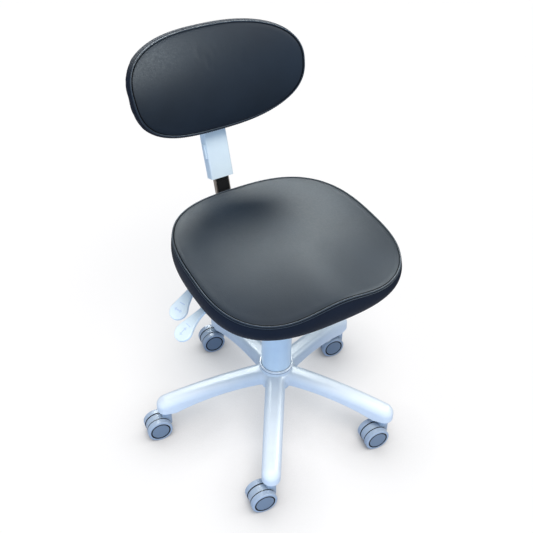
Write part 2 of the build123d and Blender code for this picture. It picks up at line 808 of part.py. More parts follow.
# Seat plate and the bolts that hold it to the seat shell
bolt_x = plate_half_width - bolt_inset
bolt_middle = (plate_front + plate_rear) / 2
bolt_places = [
    (side * bolt_x, bolt_middle + end * ((plate_rear - plate_front) / 2 - bolt_inset))
    for side in (-1, 1)
    for end in (-1, 1)
]
with BuildPart() as seat_plate:
    with BuildSketch(Plane.XY.offset(plate_bottom)):
        with Locations((0, bolt_middle)):
            RectangleRounded(2 * plate_half_width, plate_rear - plate_front, plate_corner_radius)
        with Locations(*bolt_places):
            Circle(bolt_diameter / 2, mode=Mode.SUBTRACT)
    extrude(amount=plate_thickness)
save(seat_plate, "seat_plate")
with BuildPart() as seat_bolts:
    with BuildSketch(Plane.XY.offset(plate_bottom - bolt_head_height)):
        with Locations(*bolt_places):
            RegularPolygon(bolt_head_diameter / 2, 6)
    extrude(amount=bolt_head_height)
    with BuildSketch(Plane.XY.offset(plate_bottom)):
        with Locations(*bolt_places):
            Circle(bolt_diameter / 2)
    extrude(amount=plate_thickness + seat_shell_thickness - bolt_end_cover)
save(seat_bolts, "seat_bolts")


def seat_outline(grow):
    """Draws the seat's plan, moved outward by grow."""
    bowed_outline(
        seat_half_width + grow,
        seat_front + grow,
        seat_rear + grow,
        seat_side_bow,
        seat_end_bow,
        seat_corner_radius + grow,
        seat_widest_y,
    )


# Seat shell: the board under the cushion
with BuildPart() as seat_shell:
    with BuildSketch(Plane.XY.offset(shell_bottom)):
        seat_outline(-seat_shell_inset)
    extrude(amount=seat_shell_thickness)
    fillet(seat_shell.edges().group_by(Axis.Z)[0], seat_shell_edge_radius)
    with BuildSketch(Plane.XY.offset(shell_bottom)):
        with Locations(*bolt_places):
            Circle(bolt_diameter / 2)
    extrude(amount=seat_shell_thickness - bolt_end_cover, mode=Mode.SUBTRACT)
save(seat_shell, "seat_shell")

# Crowned block that shapes the cushion's top, with a raised front middle
with BuildPart() as seat_crown:
    for place, front, side, rear in zip(
        seat_station_shares, seat_front_drop_shares, seat_side_drop_shares, seat_rear_drop_shares
    ):
        start = (-seat_front - seat_bulge, seat_bottom + seat_crown_rise * (1 - front))
        summit = (seat_crown_y, seat_bottom + seat_crown_rise * (1 - side))
        end = (seat_rear + seat_bulge, seat_bottom + seat_crown_rise * (1 - rear))
        floor = seat_bottom - overrun
        with BuildSketch(Plane.YZ.offset(place * seat_half_width)):
            with BuildLine():
                ThreePointArc(start, summit, end)
                Polyline(end, (end[0], floor), (start[0], floor), start)
            make_face()
    loft()

# Seat cushion: sides that swell and draw in to the foot, under the crowned top
with BuildPart() as seat_pad:
    side_levels = (
        (seat_bottom, -seat_tuck),
        (seat_bottom + seat_bulge_rise_share * seat_crown_rise, seat_bulge),
        (seat_bottom + seat_seam_rise_share * seat_crown_rise, -seat_seam_inset),
        (seat_bottom + seat_top_rise_share * seat_crown_rise, -seat_top_inset),
    )
    for level, grow in side_levels:
        with BuildSketch(Plane.XY.offset(level)):
            seat_outline(grow)
    loft()
    add(seat_crown.part, mode=Mode.INTERSECT)
    fillet(border(facing(seat_pad, 1)), seat_edge_radius)
save(seat_pad, "seat_pad")

# Back stem: a flat bar from the tilt pin, bent up behind the seat
bar_middle = back_frame.from_local_coords(Vector(0, 0, -stem_setback - stem_thickness / 2))
bend_y = bar_middle.Y - (bar_middle.Z - tilt_axis_z) * lean_up[1] / lean_up[2]
bend_drop = hypot(bar_middle.Y - bend_y, bar_middle.Z - tilt_axis_z)
rack_foot = rack_foot_gap - bend_drop + stem_bend_radius * tan(radians(90 - back_lean) / 2)
bar_end = bar_middle + Vector(*lean_up) * stem_top
with BuildPart() as back_stem:
    with BuildLine():
        FilletPolyline(
            (0, tilt_axis_y, tilt_axis_z),
            (0, bend_y, tilt_axis_z),
            (0, bar_end.Y, bar_end.Z),
            radius=stem_bend_radius,
        )
    with BuildSketch(Plane(origin=(0, tilt_axis_y, tilt_axis_z), x_dir=(1, 0, 0), z_dir=(0, 1, 0))):
        Rectangle(stem_width, stem_thickness)
    sweep()
    with BuildSketch(Plane.YZ.offset(-stem_width / 2)):
        with Locations((tilt_axis_y, tilt_axis_z)):
            Circle(tilt_barrel_diameter / 2)
    extrude(amount=stem_width)
    with BuildSketch(Plane.YZ.offset(-stem_width / 2 - overrun)):
        with Locations((tilt_axis_y, tilt_axis_z)):
            Circle(tilt_pin_diameter / 2 + running_gap)
    extrude(amount=stem_width + 2 * overrun, mode=Mode.SUBTRACT)
save(back_stem, "back_stem")

# Rack: a notched strip on the stem's front
rack_plane = back_frame.offset(-stem_setback)
notch_count = int((stem_top - rack_foot) / rack_notch_pitch)
with BuildPart() as stem_rack:
    with BuildSketch(rack_plane):
        with Locations((0, (rack_foot + stem_top) / 2)):
            Rectangle(rack_width, stem_top - rack_foot)
    extrude(amount=rack_thickness)
    with BuildSketch(rack_plane.offset(rack_thickness - rack_notch_depth)):
        for notch in range(notch_count):
            with Locations((0, rack_foot + rack_notch_pitch / 2 + notch * rack_notch_pitch)):
                Rectangle(rack_width + overrun, rack_notch_height)
    extrude(amount=rack_notch_depth, mode=Mode.SUBTRACT)
save(stem_rack, "stem_rack")

# Carrier: the box that slides on the stem and holds the backrest
bore_front = -stem_setback + rack_thickness + slide_gap
bore_back = -stem_setback - stem_thickness - slide_gap
button_middle = button_foot + button_height / 2
button_level = (bore_front + bore_back) / 2
back_bolt_places = [(0, back_bolt_low), (0, back_bolt_low + back_bolt_spacing)]
with BuildPart() as back_carrier:
    with BuildSketch(back_frame.offset(-carrier_depth)):
        with Locations((0, carrier_height / 2)):
            Rectangle(carrier_width, carrier_height)
    extrude(amount=carrier_depth)
    fillet(back_carrier.edges().filter_by(Axis(back_frame.origin, lean_up)), carrier_edge_radius)
    with BuildSketch(back_frame.offset(bore_back)):
        with Locations((0, (carrier_bore_top - overrun) / 2)):
            Rectangle(stem_width + 2 * slide_gap, carrier_bore_top + overrun)
    extrude(amount=bore_front - bore_back, mode=Mode.SUBTRACT)
    with BuildSketch(back_frame.offset(button_level - button_depth / 2)):
        with Locations((-carrier_width / 2, button_middle)):
            Rectangle(carrier_width - stem_width - slide_gap, button_height)
    extrude(amount=button_depth, mode=Mode.SUBTRACT)
    with BuildSketch(back_frame.offset(-carrier_depth)):
        with Locations(*back_bolt_places):
            Circle(bolt_diameter / 2)
    extrude(amount=carrier_depth, mode=Mode.SUBTRACT)
save(back_carrier, "back_carrier")

# Button that frees the carrier, in a window of its side wall
button_outer = -carrier_width / 2 - button_proud
button_inner = -stem_width / 2 - slide_gap - button_travel - flat_gap
with BuildPart() as height_button:
    with BuildSketch(back_frame.offset(button_level - button_depth / 2 + flat_gap)):
        with Locations(((button_outer + button_inner) / 2, button_middle)):
            Rectangle(button_inner - button_outer, button_height - 2 * flat_gap)
    extrude(amount=button_depth - 2 * flat_gap)
    outer_face = height_button.faces().sort_by(Axis.X)[0]
    fillet(outer_face.edges(), button_edge_radius)
save(height_button, "height_button")

pad_frame = Plane(
    origin=back_frame.from_local_coords(Vector(0, pad_centre, 0)), x_dir=(1, 0, 0), z_dir=lean_front
)


def pad_outline(grow):
    """Draws the backrest's oval, moved outward by grow: a superellipse, a little wider at the top."""
    points = []
    for step in range(pad_outline_points):
        turn = radians(step * 360 / pad_outline_points)
        across = copysign(abs(cos(turn)) ** (2 / pad_squareness), cos(turn))
        up = copysign(abs(sin(turn)) ** (2 / pad_squareness), sin(turn))
        wide = (pad_half_width + grow) * (1 + pad_top_spread * up)
        points.append((wide * across, (pad_half_height + grow) * up))
    with BuildLine() as oval:
        Spline(*points, periodic=True)
    make_face(oval.edges())


def wrapped_sheet(level, radius, thickness, grow):
    """Cuts a sheet that wraps round the sitter out of the backrest's oval."""
    with BuildSketch(pad_frame.offset(level - thickness)) as oval:
        pad_outline(grow)
    extrude(oval.sketch, amount=2 * pad_half_height)
    sheet_axis = pad_frame.from_local_coords(Vector(0, -2 * pad_half_height, level + radius))
    ring = Plane(origin=sheet_axis, x_dir=(1, 0, 0), z_dir=lean_up)
    with BuildSketch(ring) as band:
        Circle(radius + thickness)
        Circle(radius, mode=Mode.SUBTRACT)
    extrude(band.sketch, amount=4 * pad_half_height, mode=Mode.INTERSECT)


def oval_rims(builder):
    """Edges that run round the oval, from the rearmost to the foremost."""
    rims = builder.edges().filter_by(lambda edge: edge.length > pad_half_width)
    return rims.sort_by(Axis(pad_frame.origin, lean_front))


# Board inside the backrest
with BuildPart() as back_board:
    wrapped_sheet(pad_back_level, pad_back_radius, board_thickness, -board_inset)
    with BuildSketch(back_frame):
        with Locations(*back_bolt_places):
            Circle(bolt_diameter / 2)
    extrude(amount=pad_back_level - bolt_end_cover, mode=Mode.SUBTRACT)
save(back_board, "back_board")

# Moulded shell behind the board, with a rim round the board's edge and a boss that the carrier holds
with BuildPart() as board_pocket:
    wrapped_sheet(pad_back_level, pad_back_radius, board_thickness, board_gap - board_inset)
with BuildPart() as back_shell:
    wrapped_sheet(pad_back_level, pad_back_radius, board_thickness + shell_thickness, -shell_inset)
    fillet(oval_rims(back_shell)[:1], shell_edge_radius)
    add(board_pocket.part, mode=Mode.SUBTRACT)
    with BuildSketch(back_frame):
        with Locations((0, back_bolt_low + back_bolt_spacing / 2)):
            RectangleRounded(2 * boss_half_width, back_bolt_spacing + 2 * boss_margin, boss_margin / 2)
    extrude(amount=shell_back_level + shell_thickness / 2)
    with BuildSketch(back_frame):
        with Locations(*back_bolt_places):
            Circle(bolt_diameter / 2)
    extrude(amount=board_back_level + overrun, mode=Mode.SUBTRACT)
save(back_shell, "back_shell")

# Bolts from the carrier's back into the board
with BuildPart() as back_bolts:
    with BuildSketch(back_frame.offset(-carrier_depth - bolt_head_height)):
        with Locations(*back_bolt_places):
            Circle(bolt_head_diameter / 2)
    extrude(amount=bolt_head_height)
    chamfer(back_bolts.edges().group_by(Axis(back_frame.origin, lean_front))[0], rim_chamfer)
    with BuildSketch(back_frame.offset(-carrier_depth)):
        with Locations(*back_bolt_places):
            Circle(bolt_diameter / 2)
    extrude(amount=carrier_depth + pad_back_level - bolt_end_cover)
save(back_bolts, "back_bolts")

# Rolled block that shapes the backrest cushion's front
crown_level = pad_seam_level + pad_crown
edge_level = pad_seam_level - pad_seam_setback
roll_half_height = pad_half_height + overrun
front_axis = pad_frame.from_local_coords(Vector(0, 0, crown_level + pad_back_radius + pad_wrap_growth))
with BuildPart() as pad_front:
    with BuildSketch(Plane(origin=pad_frame.origin, x_dir=lean_up, z_dir=(1, 0, 0))):
        with BuildLine():
            ThreePointArc((-pad_half_height, edge_level), (0, crown_level), (pad_half_height, edge_level))
            Polyline(
                (pad_half_height, edge_level),
                (roll_half_height, edge_level),
                (roll_half_height, -pad_half_width),
                (-roll_half_height, -pad_half_width),
                (-roll_half_height, edge_level),
                (-pad_half_height, edge_level),
            )
        make_face()
    revolve(axis=Axis(front_axis, lean_up))

# Backrest cushion: an oval with a rolled front that wraps round the sitter
back_axis = pad_frame.from_local_coords(Vector(0, -2 * pad_half_height, pad_back_level + pad_back_radius))
with BuildPart() as back_pad:
    with BuildSketch(pad_frame.offset(pad_back_level - pad_thickness)):
        pad_outline(0)
    extrude(amount=2 * pad_half_height)
    with BuildSketch(Plane(origin=back_axis, x_dir=(1, 0, 0), z_dir=lean_up)):
        Circle(pad_back_radius)
    extrude(amount=4 * pad_half_height, mode=Mode.INTERSECT)
    add(pad_front.part, mode=Mode.INTERSECT)
    fillet(oval_rims(back_pad)[-1:], pad_front_edge_radius)
    fillet(oval_rims(back_pad)[:1], pad_back_edge_radius)
save(back_pad, "back_pad")
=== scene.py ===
"""Looks of a height-adjustable clinic chair: cushions, paint, plastic, treads and the studio."""

import json
from math import cos, radians, sin

import bpy
import numpy as np
from mathutils import Euler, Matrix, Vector, kdtree


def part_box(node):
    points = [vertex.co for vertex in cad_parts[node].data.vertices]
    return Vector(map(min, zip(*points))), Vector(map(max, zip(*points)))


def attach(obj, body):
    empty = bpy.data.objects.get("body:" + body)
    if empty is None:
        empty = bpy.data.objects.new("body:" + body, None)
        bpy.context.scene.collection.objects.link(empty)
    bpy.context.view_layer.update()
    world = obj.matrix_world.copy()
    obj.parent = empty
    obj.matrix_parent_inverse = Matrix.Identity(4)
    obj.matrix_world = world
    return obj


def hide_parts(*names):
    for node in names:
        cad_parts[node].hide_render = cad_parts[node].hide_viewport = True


bl_info = {
    "name": "Clinic chair dressing",
    "version": (1, 0, 0),
    "blender": (4, 5, 0),
    "location": "3D View > Sidebar > Clinic chair",
    "description": "Dresses the clinic chair's frame with cushions, finishes, treads and a studio",
    "category": "Object",
}

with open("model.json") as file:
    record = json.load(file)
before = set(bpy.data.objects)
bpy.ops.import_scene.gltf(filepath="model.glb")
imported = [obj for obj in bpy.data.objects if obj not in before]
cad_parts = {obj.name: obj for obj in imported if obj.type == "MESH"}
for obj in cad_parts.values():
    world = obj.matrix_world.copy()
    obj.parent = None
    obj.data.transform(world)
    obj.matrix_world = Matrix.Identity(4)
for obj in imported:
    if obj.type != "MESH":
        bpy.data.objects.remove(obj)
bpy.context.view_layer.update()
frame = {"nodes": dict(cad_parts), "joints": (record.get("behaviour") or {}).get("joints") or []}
joints = {joint["name"]: joint for joint in frame["joints"]}

# Lengths are in millimetres unless a heading says metres
MM = 0.001
caster_numbers = range(1, 6)

# Seat's rim seen from above
seat_middle = np.array([0.0, -32.7])
seat_half_width = 185.2
seat_depth_front = 167.0
seat_depth_rear = 195.5
seat_power = 2.83
seat_narrowing = 0.01

# Heights of the seat's rim, over steps of seat_reach from its middle
seat_reach = 150.0
seat_rim_level = 457.9
seat_rim_slope = 14.25
seat_rim_bow = 5.57
seat_bell_height = 17.35
seat_bell_width = 84.5

# Seat's top and side
seat_crown = np.array([0.0, -15.0, 475.0])
seat_dish_power = 2.3
seat_seam_reach = 4.5
seat_foot = 404.0
seat_draw_in = 6.8
seat_bulge = 7.8

# Backrest rim, in its own leaned frame: across, up and level towards the sitter
back_origin = np.array([0.0, 270.45, 651.8])
back_lean = radians(18.0)
back_up = np.array([0.0, sin(back_lean), cos(back_lean)])
back_front = np.array([0.0, -cos(back_lean), sin(back_lean)])
back_half_width = 170.0
back_half_height = 92.7
back_power = 2.54
back_spread = 0.05

# Backrest's front, side and rear
back_crown = 40.0
back_edge = 20.0
back_wrap = 409.0
back_seam_reach = 4.0
back_draw_in = 2.3
back_bulge = 6.4
back_lip = -3.8
shell_wrap = 370.0
shell_level = 1.0
shell_thickness = 3.0
pad_rear_wrap = 357.0
pad_rear_level = 14.0
pocket_gap = 0.2

# Steps round the rims, as drawn and once evened, and rings over the panels and sides
curve_steps = 8192
seat_steps = 320
seat_panel_rings = 44
seat_side_rings = 24
back_steps = 288
back_panel_rings = 36
back_side_rings = 18
middle_share = 0.03

# Sewing on both cushions
side_power = 0.75
welt_out_share = 0.35
welt_lift = 0.2
stitch_length = 2.9
stitch_radius = 0.42
stitch_tilt = 0.35
seat_stitch_drop = 6.0
back_stitch_drop = 5.6
hold_height = 1.5

# Cloth simulation of the covers, in metres
cloth_voxel = 0.005
cloth_pressure = 4.0
cloth_frames = 20
cloth_neighbours = 6
cloth_softening = 0.0005
seam_hold = 0.006
seam_fade = 0.010
seat_puff = 0.0035
back_puff = 0.003

# Wheel details: radii, and levels along the axle from the caster's middle
tread_radius = 25.5
tread_bore = 21.05
tread_middle = 14.2
tread_half_width = 6.0
tread_shoulder = 1.7
groove_depth = 0.5
# Black rings of painted shade: in the groove round the cap, and in the gap between tread and hood
groove_shade_radius = 19.3
groove_shade_level = 20.0
groove_shade_half_width = 1.5
groove_shade_half_height = 0.65
gap_shade_radii = (20.6, 25.15)
gap_shade_levels = (7.2, 9.3)
cap_radius = 18.3
cap_level = 19.6

# Hood ribs, in metres: their pitch, and the heights between which they fade out
rib_pitch = 0.0015
rib_fade_low = 0.05
rib_fade_high = 0.055

# Lever marks
blade_fall = radians(32.0)
mark_proud = 0.35
mark_sunk = 0.2
arrow_tip = 9.0
arrow_neck = 4.5
arrow_barb = 4.0
arrow_shaft = 1.4
bar_half_width = 1.0
bar_half_height = 6.0
bar_place = -14.0


class ChairUpholstery(bpy.types.PropertyGroup):
    """Sizes and colour of the cushions' cover."""

    cover_colour: bpy.props.FloatVectorProperty(
        name="Cover colour",
        description="Colour of the leatherette",
        default=(0.013, 0.0215, 0.034),
        size=3,
        min=0,
        max=1,
        subtype="COLOR",
    )
    cover_roughness: bpy.props.FloatProperty(
        name="Cover roughness", description="Roughness of the leatherette", default=0.5, min=0, max=1
    )
    welt_radius: bpy.props.FloatProperty(
        name="Welt radius",
        description="Radius of the cord sewn into the rims",
        default=0.0015,
        min=0,
        unit="LENGTH",
    )
    stitch_pitch: bpy.props.FloatProperty(
        name="Stitch pitch",
        description="Distance from one stitch to the next",
        default=0.0044,
        min=0.001,
        unit="LENGTH",
    )
    seam_rise: bpy.props.FloatProperty(
        name="Rise beside the seam",
        description="How far a panel swells beside its seam",
        default=0.0024,
        min=0,
        unit="LENGTH",
    )


class ChairFinish(bpy.types.PropertyGroup):
    """Colours of the paint, plastic and treads."""

    base_colour: bpy.props.FloatVectorProperty(
        name="Base colour",
        description="Paint of the base",
        default=(0.77, 0.845, 0.92),
        size=3,
        subtype="COLOR",
    )
    # Lighter and bluer than the base's paint: painted light that makes up for the seat's shade
    column_colour: bpy.props.FloatVectorProperty(
        name="Column colour",
        description="Paint of the column",
        default=(0.74, 0.88, 1.0),
        size=3,
        subtype="COLOR",
    )
    lever_colour: bpy.props.FloatVectorProperty(
        name="Lever colour",
        description="Plastic of the levers and the carrier",
        default=(0.8, 0.92, 1.0),
        size=3,
        subtype="COLOR",
    )
    caster_colour: bpy.props.FloatVectorProperty(
        name="Caster colour",
        description="Plastic of the casters' hoods and rims",
        default=(0.39, 0.48, 0.59),
        size=3,
        subtype="COLOR",
    )
    tread_grooves: bpy.props.IntProperty(
        name="Tread grooves", description="Grooves round each tread", default=4, min=0
    )


class ChairStudio(bpy.types.PropertyGroup):
    """Camera and light."""

    camera_place: bpy.props.FloatVectorProperty(
        name="Camera place",
        description="Where the camera stands",
        default=(-0.5970, -0.9672, 1.3053),
        size=3,
        subtype="TRANSLATION",
        unit="LENGTH",
    )
    camera_turn: bpy.props.FloatVectorProperty(
        name="Camera turn",
        description="Tilt up from straight down, roll and heading",
        default=(radians(51.12), 0.0, radians(-30.62)),
        size=3,
        subtype="EULER",
    )
    camera_roll: bpy.props.FloatProperty(
        name="Camera roll",
        description="Turn about the line of sight",
        default=radians(0.414),
        subtype="ANGLE",
    )
    focal_length: bpy.props.FloatProperty(
        name="Focal length", description="In millimetres, on a 36 mm sensor", default=53.55, min=1
    )
    key_strength: bpy.props.FloatProperty(
        name="Key strength", description="Strength of the soft sun", default=2.3, min=0
    )


# Nodes and materials


def add_node(tree, kind, inputs=None, **settings):
    """Adds a node, sets its options and fills or joins its inputs."""
    node = tree.nodes.new(kind)
    for name, value in settings.items():
        setattr(node, name, value)
    for name, value in (inputs or {}).items():
        if isinstance(value, bpy.types.NodeSocket):
            tree.links.new(value, node.inputs[name])
        else:
            node.inputs[name].default_value = value
    return node


def new_finish(name, colour, roughness, **sockets):
    """Makes a material and returns it with its tree, its shader and its object coordinates."""
    finish = bpy.data.materials.new(name)
    finish.use_nodes = True
    finish.diffuse_color = (*colour, 1.0)
    tree = finish.node_tree
    shader = tree.nodes["Principled BSDF"]
    shader.inputs["Base Color"].default_value = (*colour, 1.0)
    shader.inputs["Roughness"].default_value = roughness
    for socket, value in sockets.items():
        shader.inputs[socket.replace("_", " ")].default_value = value
    coordinates = add_node(tree, "ShaderNodeTexCoord").outputs["Object"]
    return finish, tree, shader, coordinates


def calculate(tree, operation, *values):
    """Result of one Math node."""
    return add_node(tree, "ShaderNodeMath", dict(enumerate(values)), operation=operation).outputs["Value"]


def noise(tree, place, scale, detail, roughness=0.5):
    """Factor of a noise texture."""
    inputs = {"Vector": place, "Scale": scale, "Detail": detail, "Roughness": roughness}
    return add_node(tree, "ShaderNodeTexNoise", inputs).outputs["Fac"]


def spread(tree, value, start, stop, low, high):
    """Runs from low to high as the value rises from start to stop."""
    inputs = {"Value": value, "From Min": start, "From Max": stop, "To Min": low, "To Max": high}
    return add_node(tree, "ShaderNodeMapRange", inputs).outputs["Result"]


def raise_surface(tree, shader, height, strength, distance):
    """Bumps the shading by a height."""
    bump = add_node(tree, "ShaderNodeBump", {"Height": height, "Strength": strength, "Distance": distance})
    tree.links.new(bump.outputs["Normal"], shader.inputs["Normal"])


def seen_rays(tree):
    """1 for camera, glossy and transmission rays, and 0 for the rays that light the object."""
    rays = add_node(tree, "ShaderNodeLightPath").outputs
    seen = calculate(tree, "MAXIMUM", rays["Is Camera Ray"], rays["Is Glossy Ray"])
    return calculate(tree, "MAXIMUM", seen, rays["Is Transmission Ray"])


def vary_colour(tree, shader, driver, dark, light, colour, low=0.3, high=0.7):
    """Base colour runs from dark times colour to light times colour as the driver rises."""
    ramp = add_node(tree, "ShaderNodeValToRGB", {"Fac": driver})
    ramp.color_ramp.elements[0].position = low
    ramp.color_ramp.elements[1].position = high
    ramp.color_ramp.elements[0].color = (*[min(1, c * dark) for c in colour], 1)
    ramp.color_ramp.elements[1].color = (*[min(1, c * light) for c in colour], 1)
    tree.links.new(ramp.outputs["Color"], shader.inputs["Base Color"])


def vary_roughness(tree, shader, driver, low, high):
    """Roughness runs from low to high as the driver rises from 0.3 to 0.7."""
    tree.links.new(spread(tree, driver, 0.3, 0.7, low, high), shader.inputs["Roughness"])


def leatherette(name, colour, roughness, specular):
    """Pebbled cover: small Voronoi cells broken up by noise, with broad soft changes of colour and gloss."""
    finish, tree, shader, place = new_finish(name, colour, roughness, Specular_IOR_Level=specular)
    broad = noise(tree, place, 9.0, 3.0)
    fine = noise(tree, place, 260.0, 4.0)
    cells = {"Vector": place, "Scale": 640.0, "Randomness": 0.9}
    pebbles = add_node(tree, "ShaderNodeTexVoronoi", cells, feature="F1").outputs["Distance"]
    vary_colour(tree, shader, broad, 0.86, 1.14, colour)
    vary_roughness(tree, shader, fine, roughness - 0.05, roughness + 0.06)
    raise_surface(tree, shader, calculate(tree, "ADD", pebbles, fine), 0.35, 0.00016)
    return finish


def moulded(name, colour, roughness, grain=420.0, depth=0.00005, coat=0.0, specular=0.5):
    """Moulded plastic: fine texture from two noises and slight changes of colour."""
    finish, tree, shader, place = new_finish(
        name, colour, roughness, Coat_Weight=coat, Coat_Roughness=0.25, Specular_IOR_Level=specular
    )
    broad = noise(tree, place, 22.0, 3.0)
    vary_colour(tree, shader, broad, 0.96, 1.03, colour)
    vary_roughness(tree, shader, broad, roughness - 0.04, roughness + 0.05)
    raise_surface(tree, shader, noise(tree, place, grain, 3.0), 0.3, depth)
    return finish


def ribbed(name, colour, roughness):
    """Hood plastic: ribs across the axles, cos(2 pi distance / pitch), that fade out above the wheels."""
    finish, tree, shader, place = new_finish(name, colour, roughness)
    axle = tuple(joints["caster_1_left_spin"]["axis"])
    dot = add_node(tree, "ShaderNodeVectorMath", {0: place, 1: axle}, operation="DOT_PRODUCT")
    turn = calculate(tree, "MULTIPLY", dot.outputs["Value"], 2 * np.pi / rib_pitch)
    height = add_node(tree, "ShaderNodeSeparateXYZ", {"Vector": place}).outputs["Z"]
    low = spread(tree, height, rib_fade_low, rib_fade_high, 1.0, 0.0)
    ribs = calculate(tree, "MULTIPLY", calculate(tree, "COSINE", turn), low)
    vary_colour(tree, shader, ribs, 1.08, 0.84, colour, low=0.0, high=0.9)
    vary_roughness(tree, shader, noise(tree, place, 22.0, 3.0), roughness - 0.04, roughness + 0.05)
    raise_surface(tree, shader, ribs, 0.4, 0.0003)
    return finish


def sprayed(name, colour, roughness, coat=0.0, specular=0.5):
    """Sprayed paint: a faint orange-peel ripple under a clear coat, with slight scuffing."""
    finish, tree, shader, place = new_finish(
        name, colour, roughness, Coat_Weight=coat, Coat_Roughness=0.22, Specular_IOR_Level=specular
    )
    scuff = noise(tree, place, 36.0, 7.0, roughness=0.7)
    vary_colour(tree, shader, scuff, 0.97, 1.02, colour)
    vary_roughness(tree, shader, scuff, roughness - 0.03, roughness + 0.09)
    raise_surface(tree, shader, noise(tree, place, 340.0, 2.0), 0.2, 0.00004)
    return finish


def brushed(name, colour, roughness, along=(1.0, 1.0, 0.04)):
    """Brushed or turned steel: noise stretched along one direction drives gloss and a fine ripple."""
    finish, tree, shader, place = new_finish(name, colour, roughness, Metallic=1.0)
    drawn = add_node(tree, "ShaderNodeMapping", {"Vector": place, "Scale": along}).outputs["Vector"]
    lines = noise(tree, drawn, 700.0, 4.0)
    vary_colour(tree, shader, lines, 0.85, 1.08, colour)
    vary_roughness(tree, shader, lines, roughness - 0.06, roughness + 0.1)
    raise_surface(tree, shader, lines, 0.15, 0.00003)
    return finish


def dress(nodes, finish):
    """Gives CAD nodes one finish."""
    for name in nodes:
        mesh = frame["nodes"][name].data
        mesh.materials.clear()
        mesh.materials.append(finish)


# Surfaces


def even_loop(points, count):
    """Resamples a closed curve at equal steps along its length."""
    closed = np.vstack([points, points[:1]])
    steps = np.linalg.norm(np.diff(closed, axis=0), axis=1)
    run = np.concatenate([[0.0], np.cumsum(steps)])
    wanted = np.linspace(0.0, run[-1], count, endpoint=False)
    return np.stack([np.interp(wanted, run, closed[:, axis]) for axis in range(closed.shape[1])], axis=1)


def outward(loop):
    """Unit normals in the plane of an anticlockwise loop: its tangent turned a quarter clockwise."""
    tangent = np.roll(loop[:, :2], -1, axis=0) - np.roll(loop[:, :2], 1, axis=0)
    tangent /= np.linalg.norm(tangent, axis=1, keepdims=True)
    return np.stack([tangent[:, 1], -tangent[:, 0]], axis=1)


def signed_power(values, power):
    """Power of the size of each value, with its sign kept."""
    return np.sign(values) * np.abs(values) ** power


def ring_faces(rings, around, wrap=False):
    """Quads between neighbouring rings of points, numbered ring by ring."""
    ring = np.arange(rings if wrap else rings - 1)[:, None]
    step = np.arange(around)[None, :]
    after = (ring + 1) % rings
    beside = (step + 1) % around
    corners = [ring * around + step, ring * around + beside, after * around + beside, after * around + step]
    quads = np.stack([np.broadcast_to(corner, (len(ring), around)) for corner in corners], axis=-1)
    return quads.reshape(-1, 4)


def skin(name, points, faces, body, finish, sharp=None):
    """Makes an outward-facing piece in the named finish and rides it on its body."""
    mesh = bpy.data.meshes.new(name)
    mesh.from_pydata((np.asarray(points) * MM).tolist(), [], [list(face) for face in faces])
    mesh.update()
    mesh.validate()
    mesh.shade_smooth()
    if sharp is not None:
        mesh.set_sharp_from_angle(angle=radians(sharp))
    mesh.materials.append(bpy.data.materials[finish])
    piece = bpy.data.objects.new(name, mesh)
    bpy.context.scene.collection.objects.link(piece)
    face_outward(piece)
    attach(piece, body)
    return piece


def face_outward(piece):
    """Turns the faces over when the piece's signed volume is negative."""
    mesh = piece.data
    mesh.calc_loop_triangles()
    corners = np.zeros(len(mesh.loop_triangles) * 3, dtype=np.int32)
    mesh.loop_triangles.foreach_get("vertices", corners)
    places = np.zeros(len(mesh.vertices) * 3)
    mesh.vertices.foreach_get("co", places)
    a, b, c = places.reshape(-1, 3)[corners].reshape(-1, 3, 3).transpose(1, 0, 2)
    if np.einsum("ij,ij->i", a, np.cross(b, c)).sum() < 0:
        mesh.flip_normals()


def finish_shaded_side(piece, finish, panel_rings, around):
    """Gives every face below the top panel's rings another finish, the darker side cover that is painted
    shade. The top's fan comes last but one.
    """
    piece.data.materials.append(bpy.data.materials[finish])
    number = np.ones(len(piece.data.polygons), dtype=np.int32)
    number[: around * (panel_rings - 1)] = 0
    number[-2 * around : -around] = 0
    piece.data.polygons.foreach_set("material_index", number)


def closed_skin(name, rings, body, finish, sharp=None):
    """Closes a stack of rings with a middle point at both ends and makes it a piece."""
    rings = np.asarray(rings)
    count, around = rings.shape[:2]
    points = rings.reshape(-1, 3)
    ends = np.stack([rings[0].mean(axis=0), rings[-1].mean(axis=0)])
    step = np.arange(around)
    beside = (step + 1) % around
    last = (count - 1) * around
    caps = np.concatenate(
        [
            np.stack([np.full(around, count * around), beside, step], axis=1),
            np.stack([np.full(around, count * around + 1), last + step, last + beside], axis=1),
        ]
    )
    faces = [*ring_faces(count, around).tolist(), *caps.tolist()]
    return skin(name, np.vstack([points, ends]), faces, body, finish, sharp=sharp)


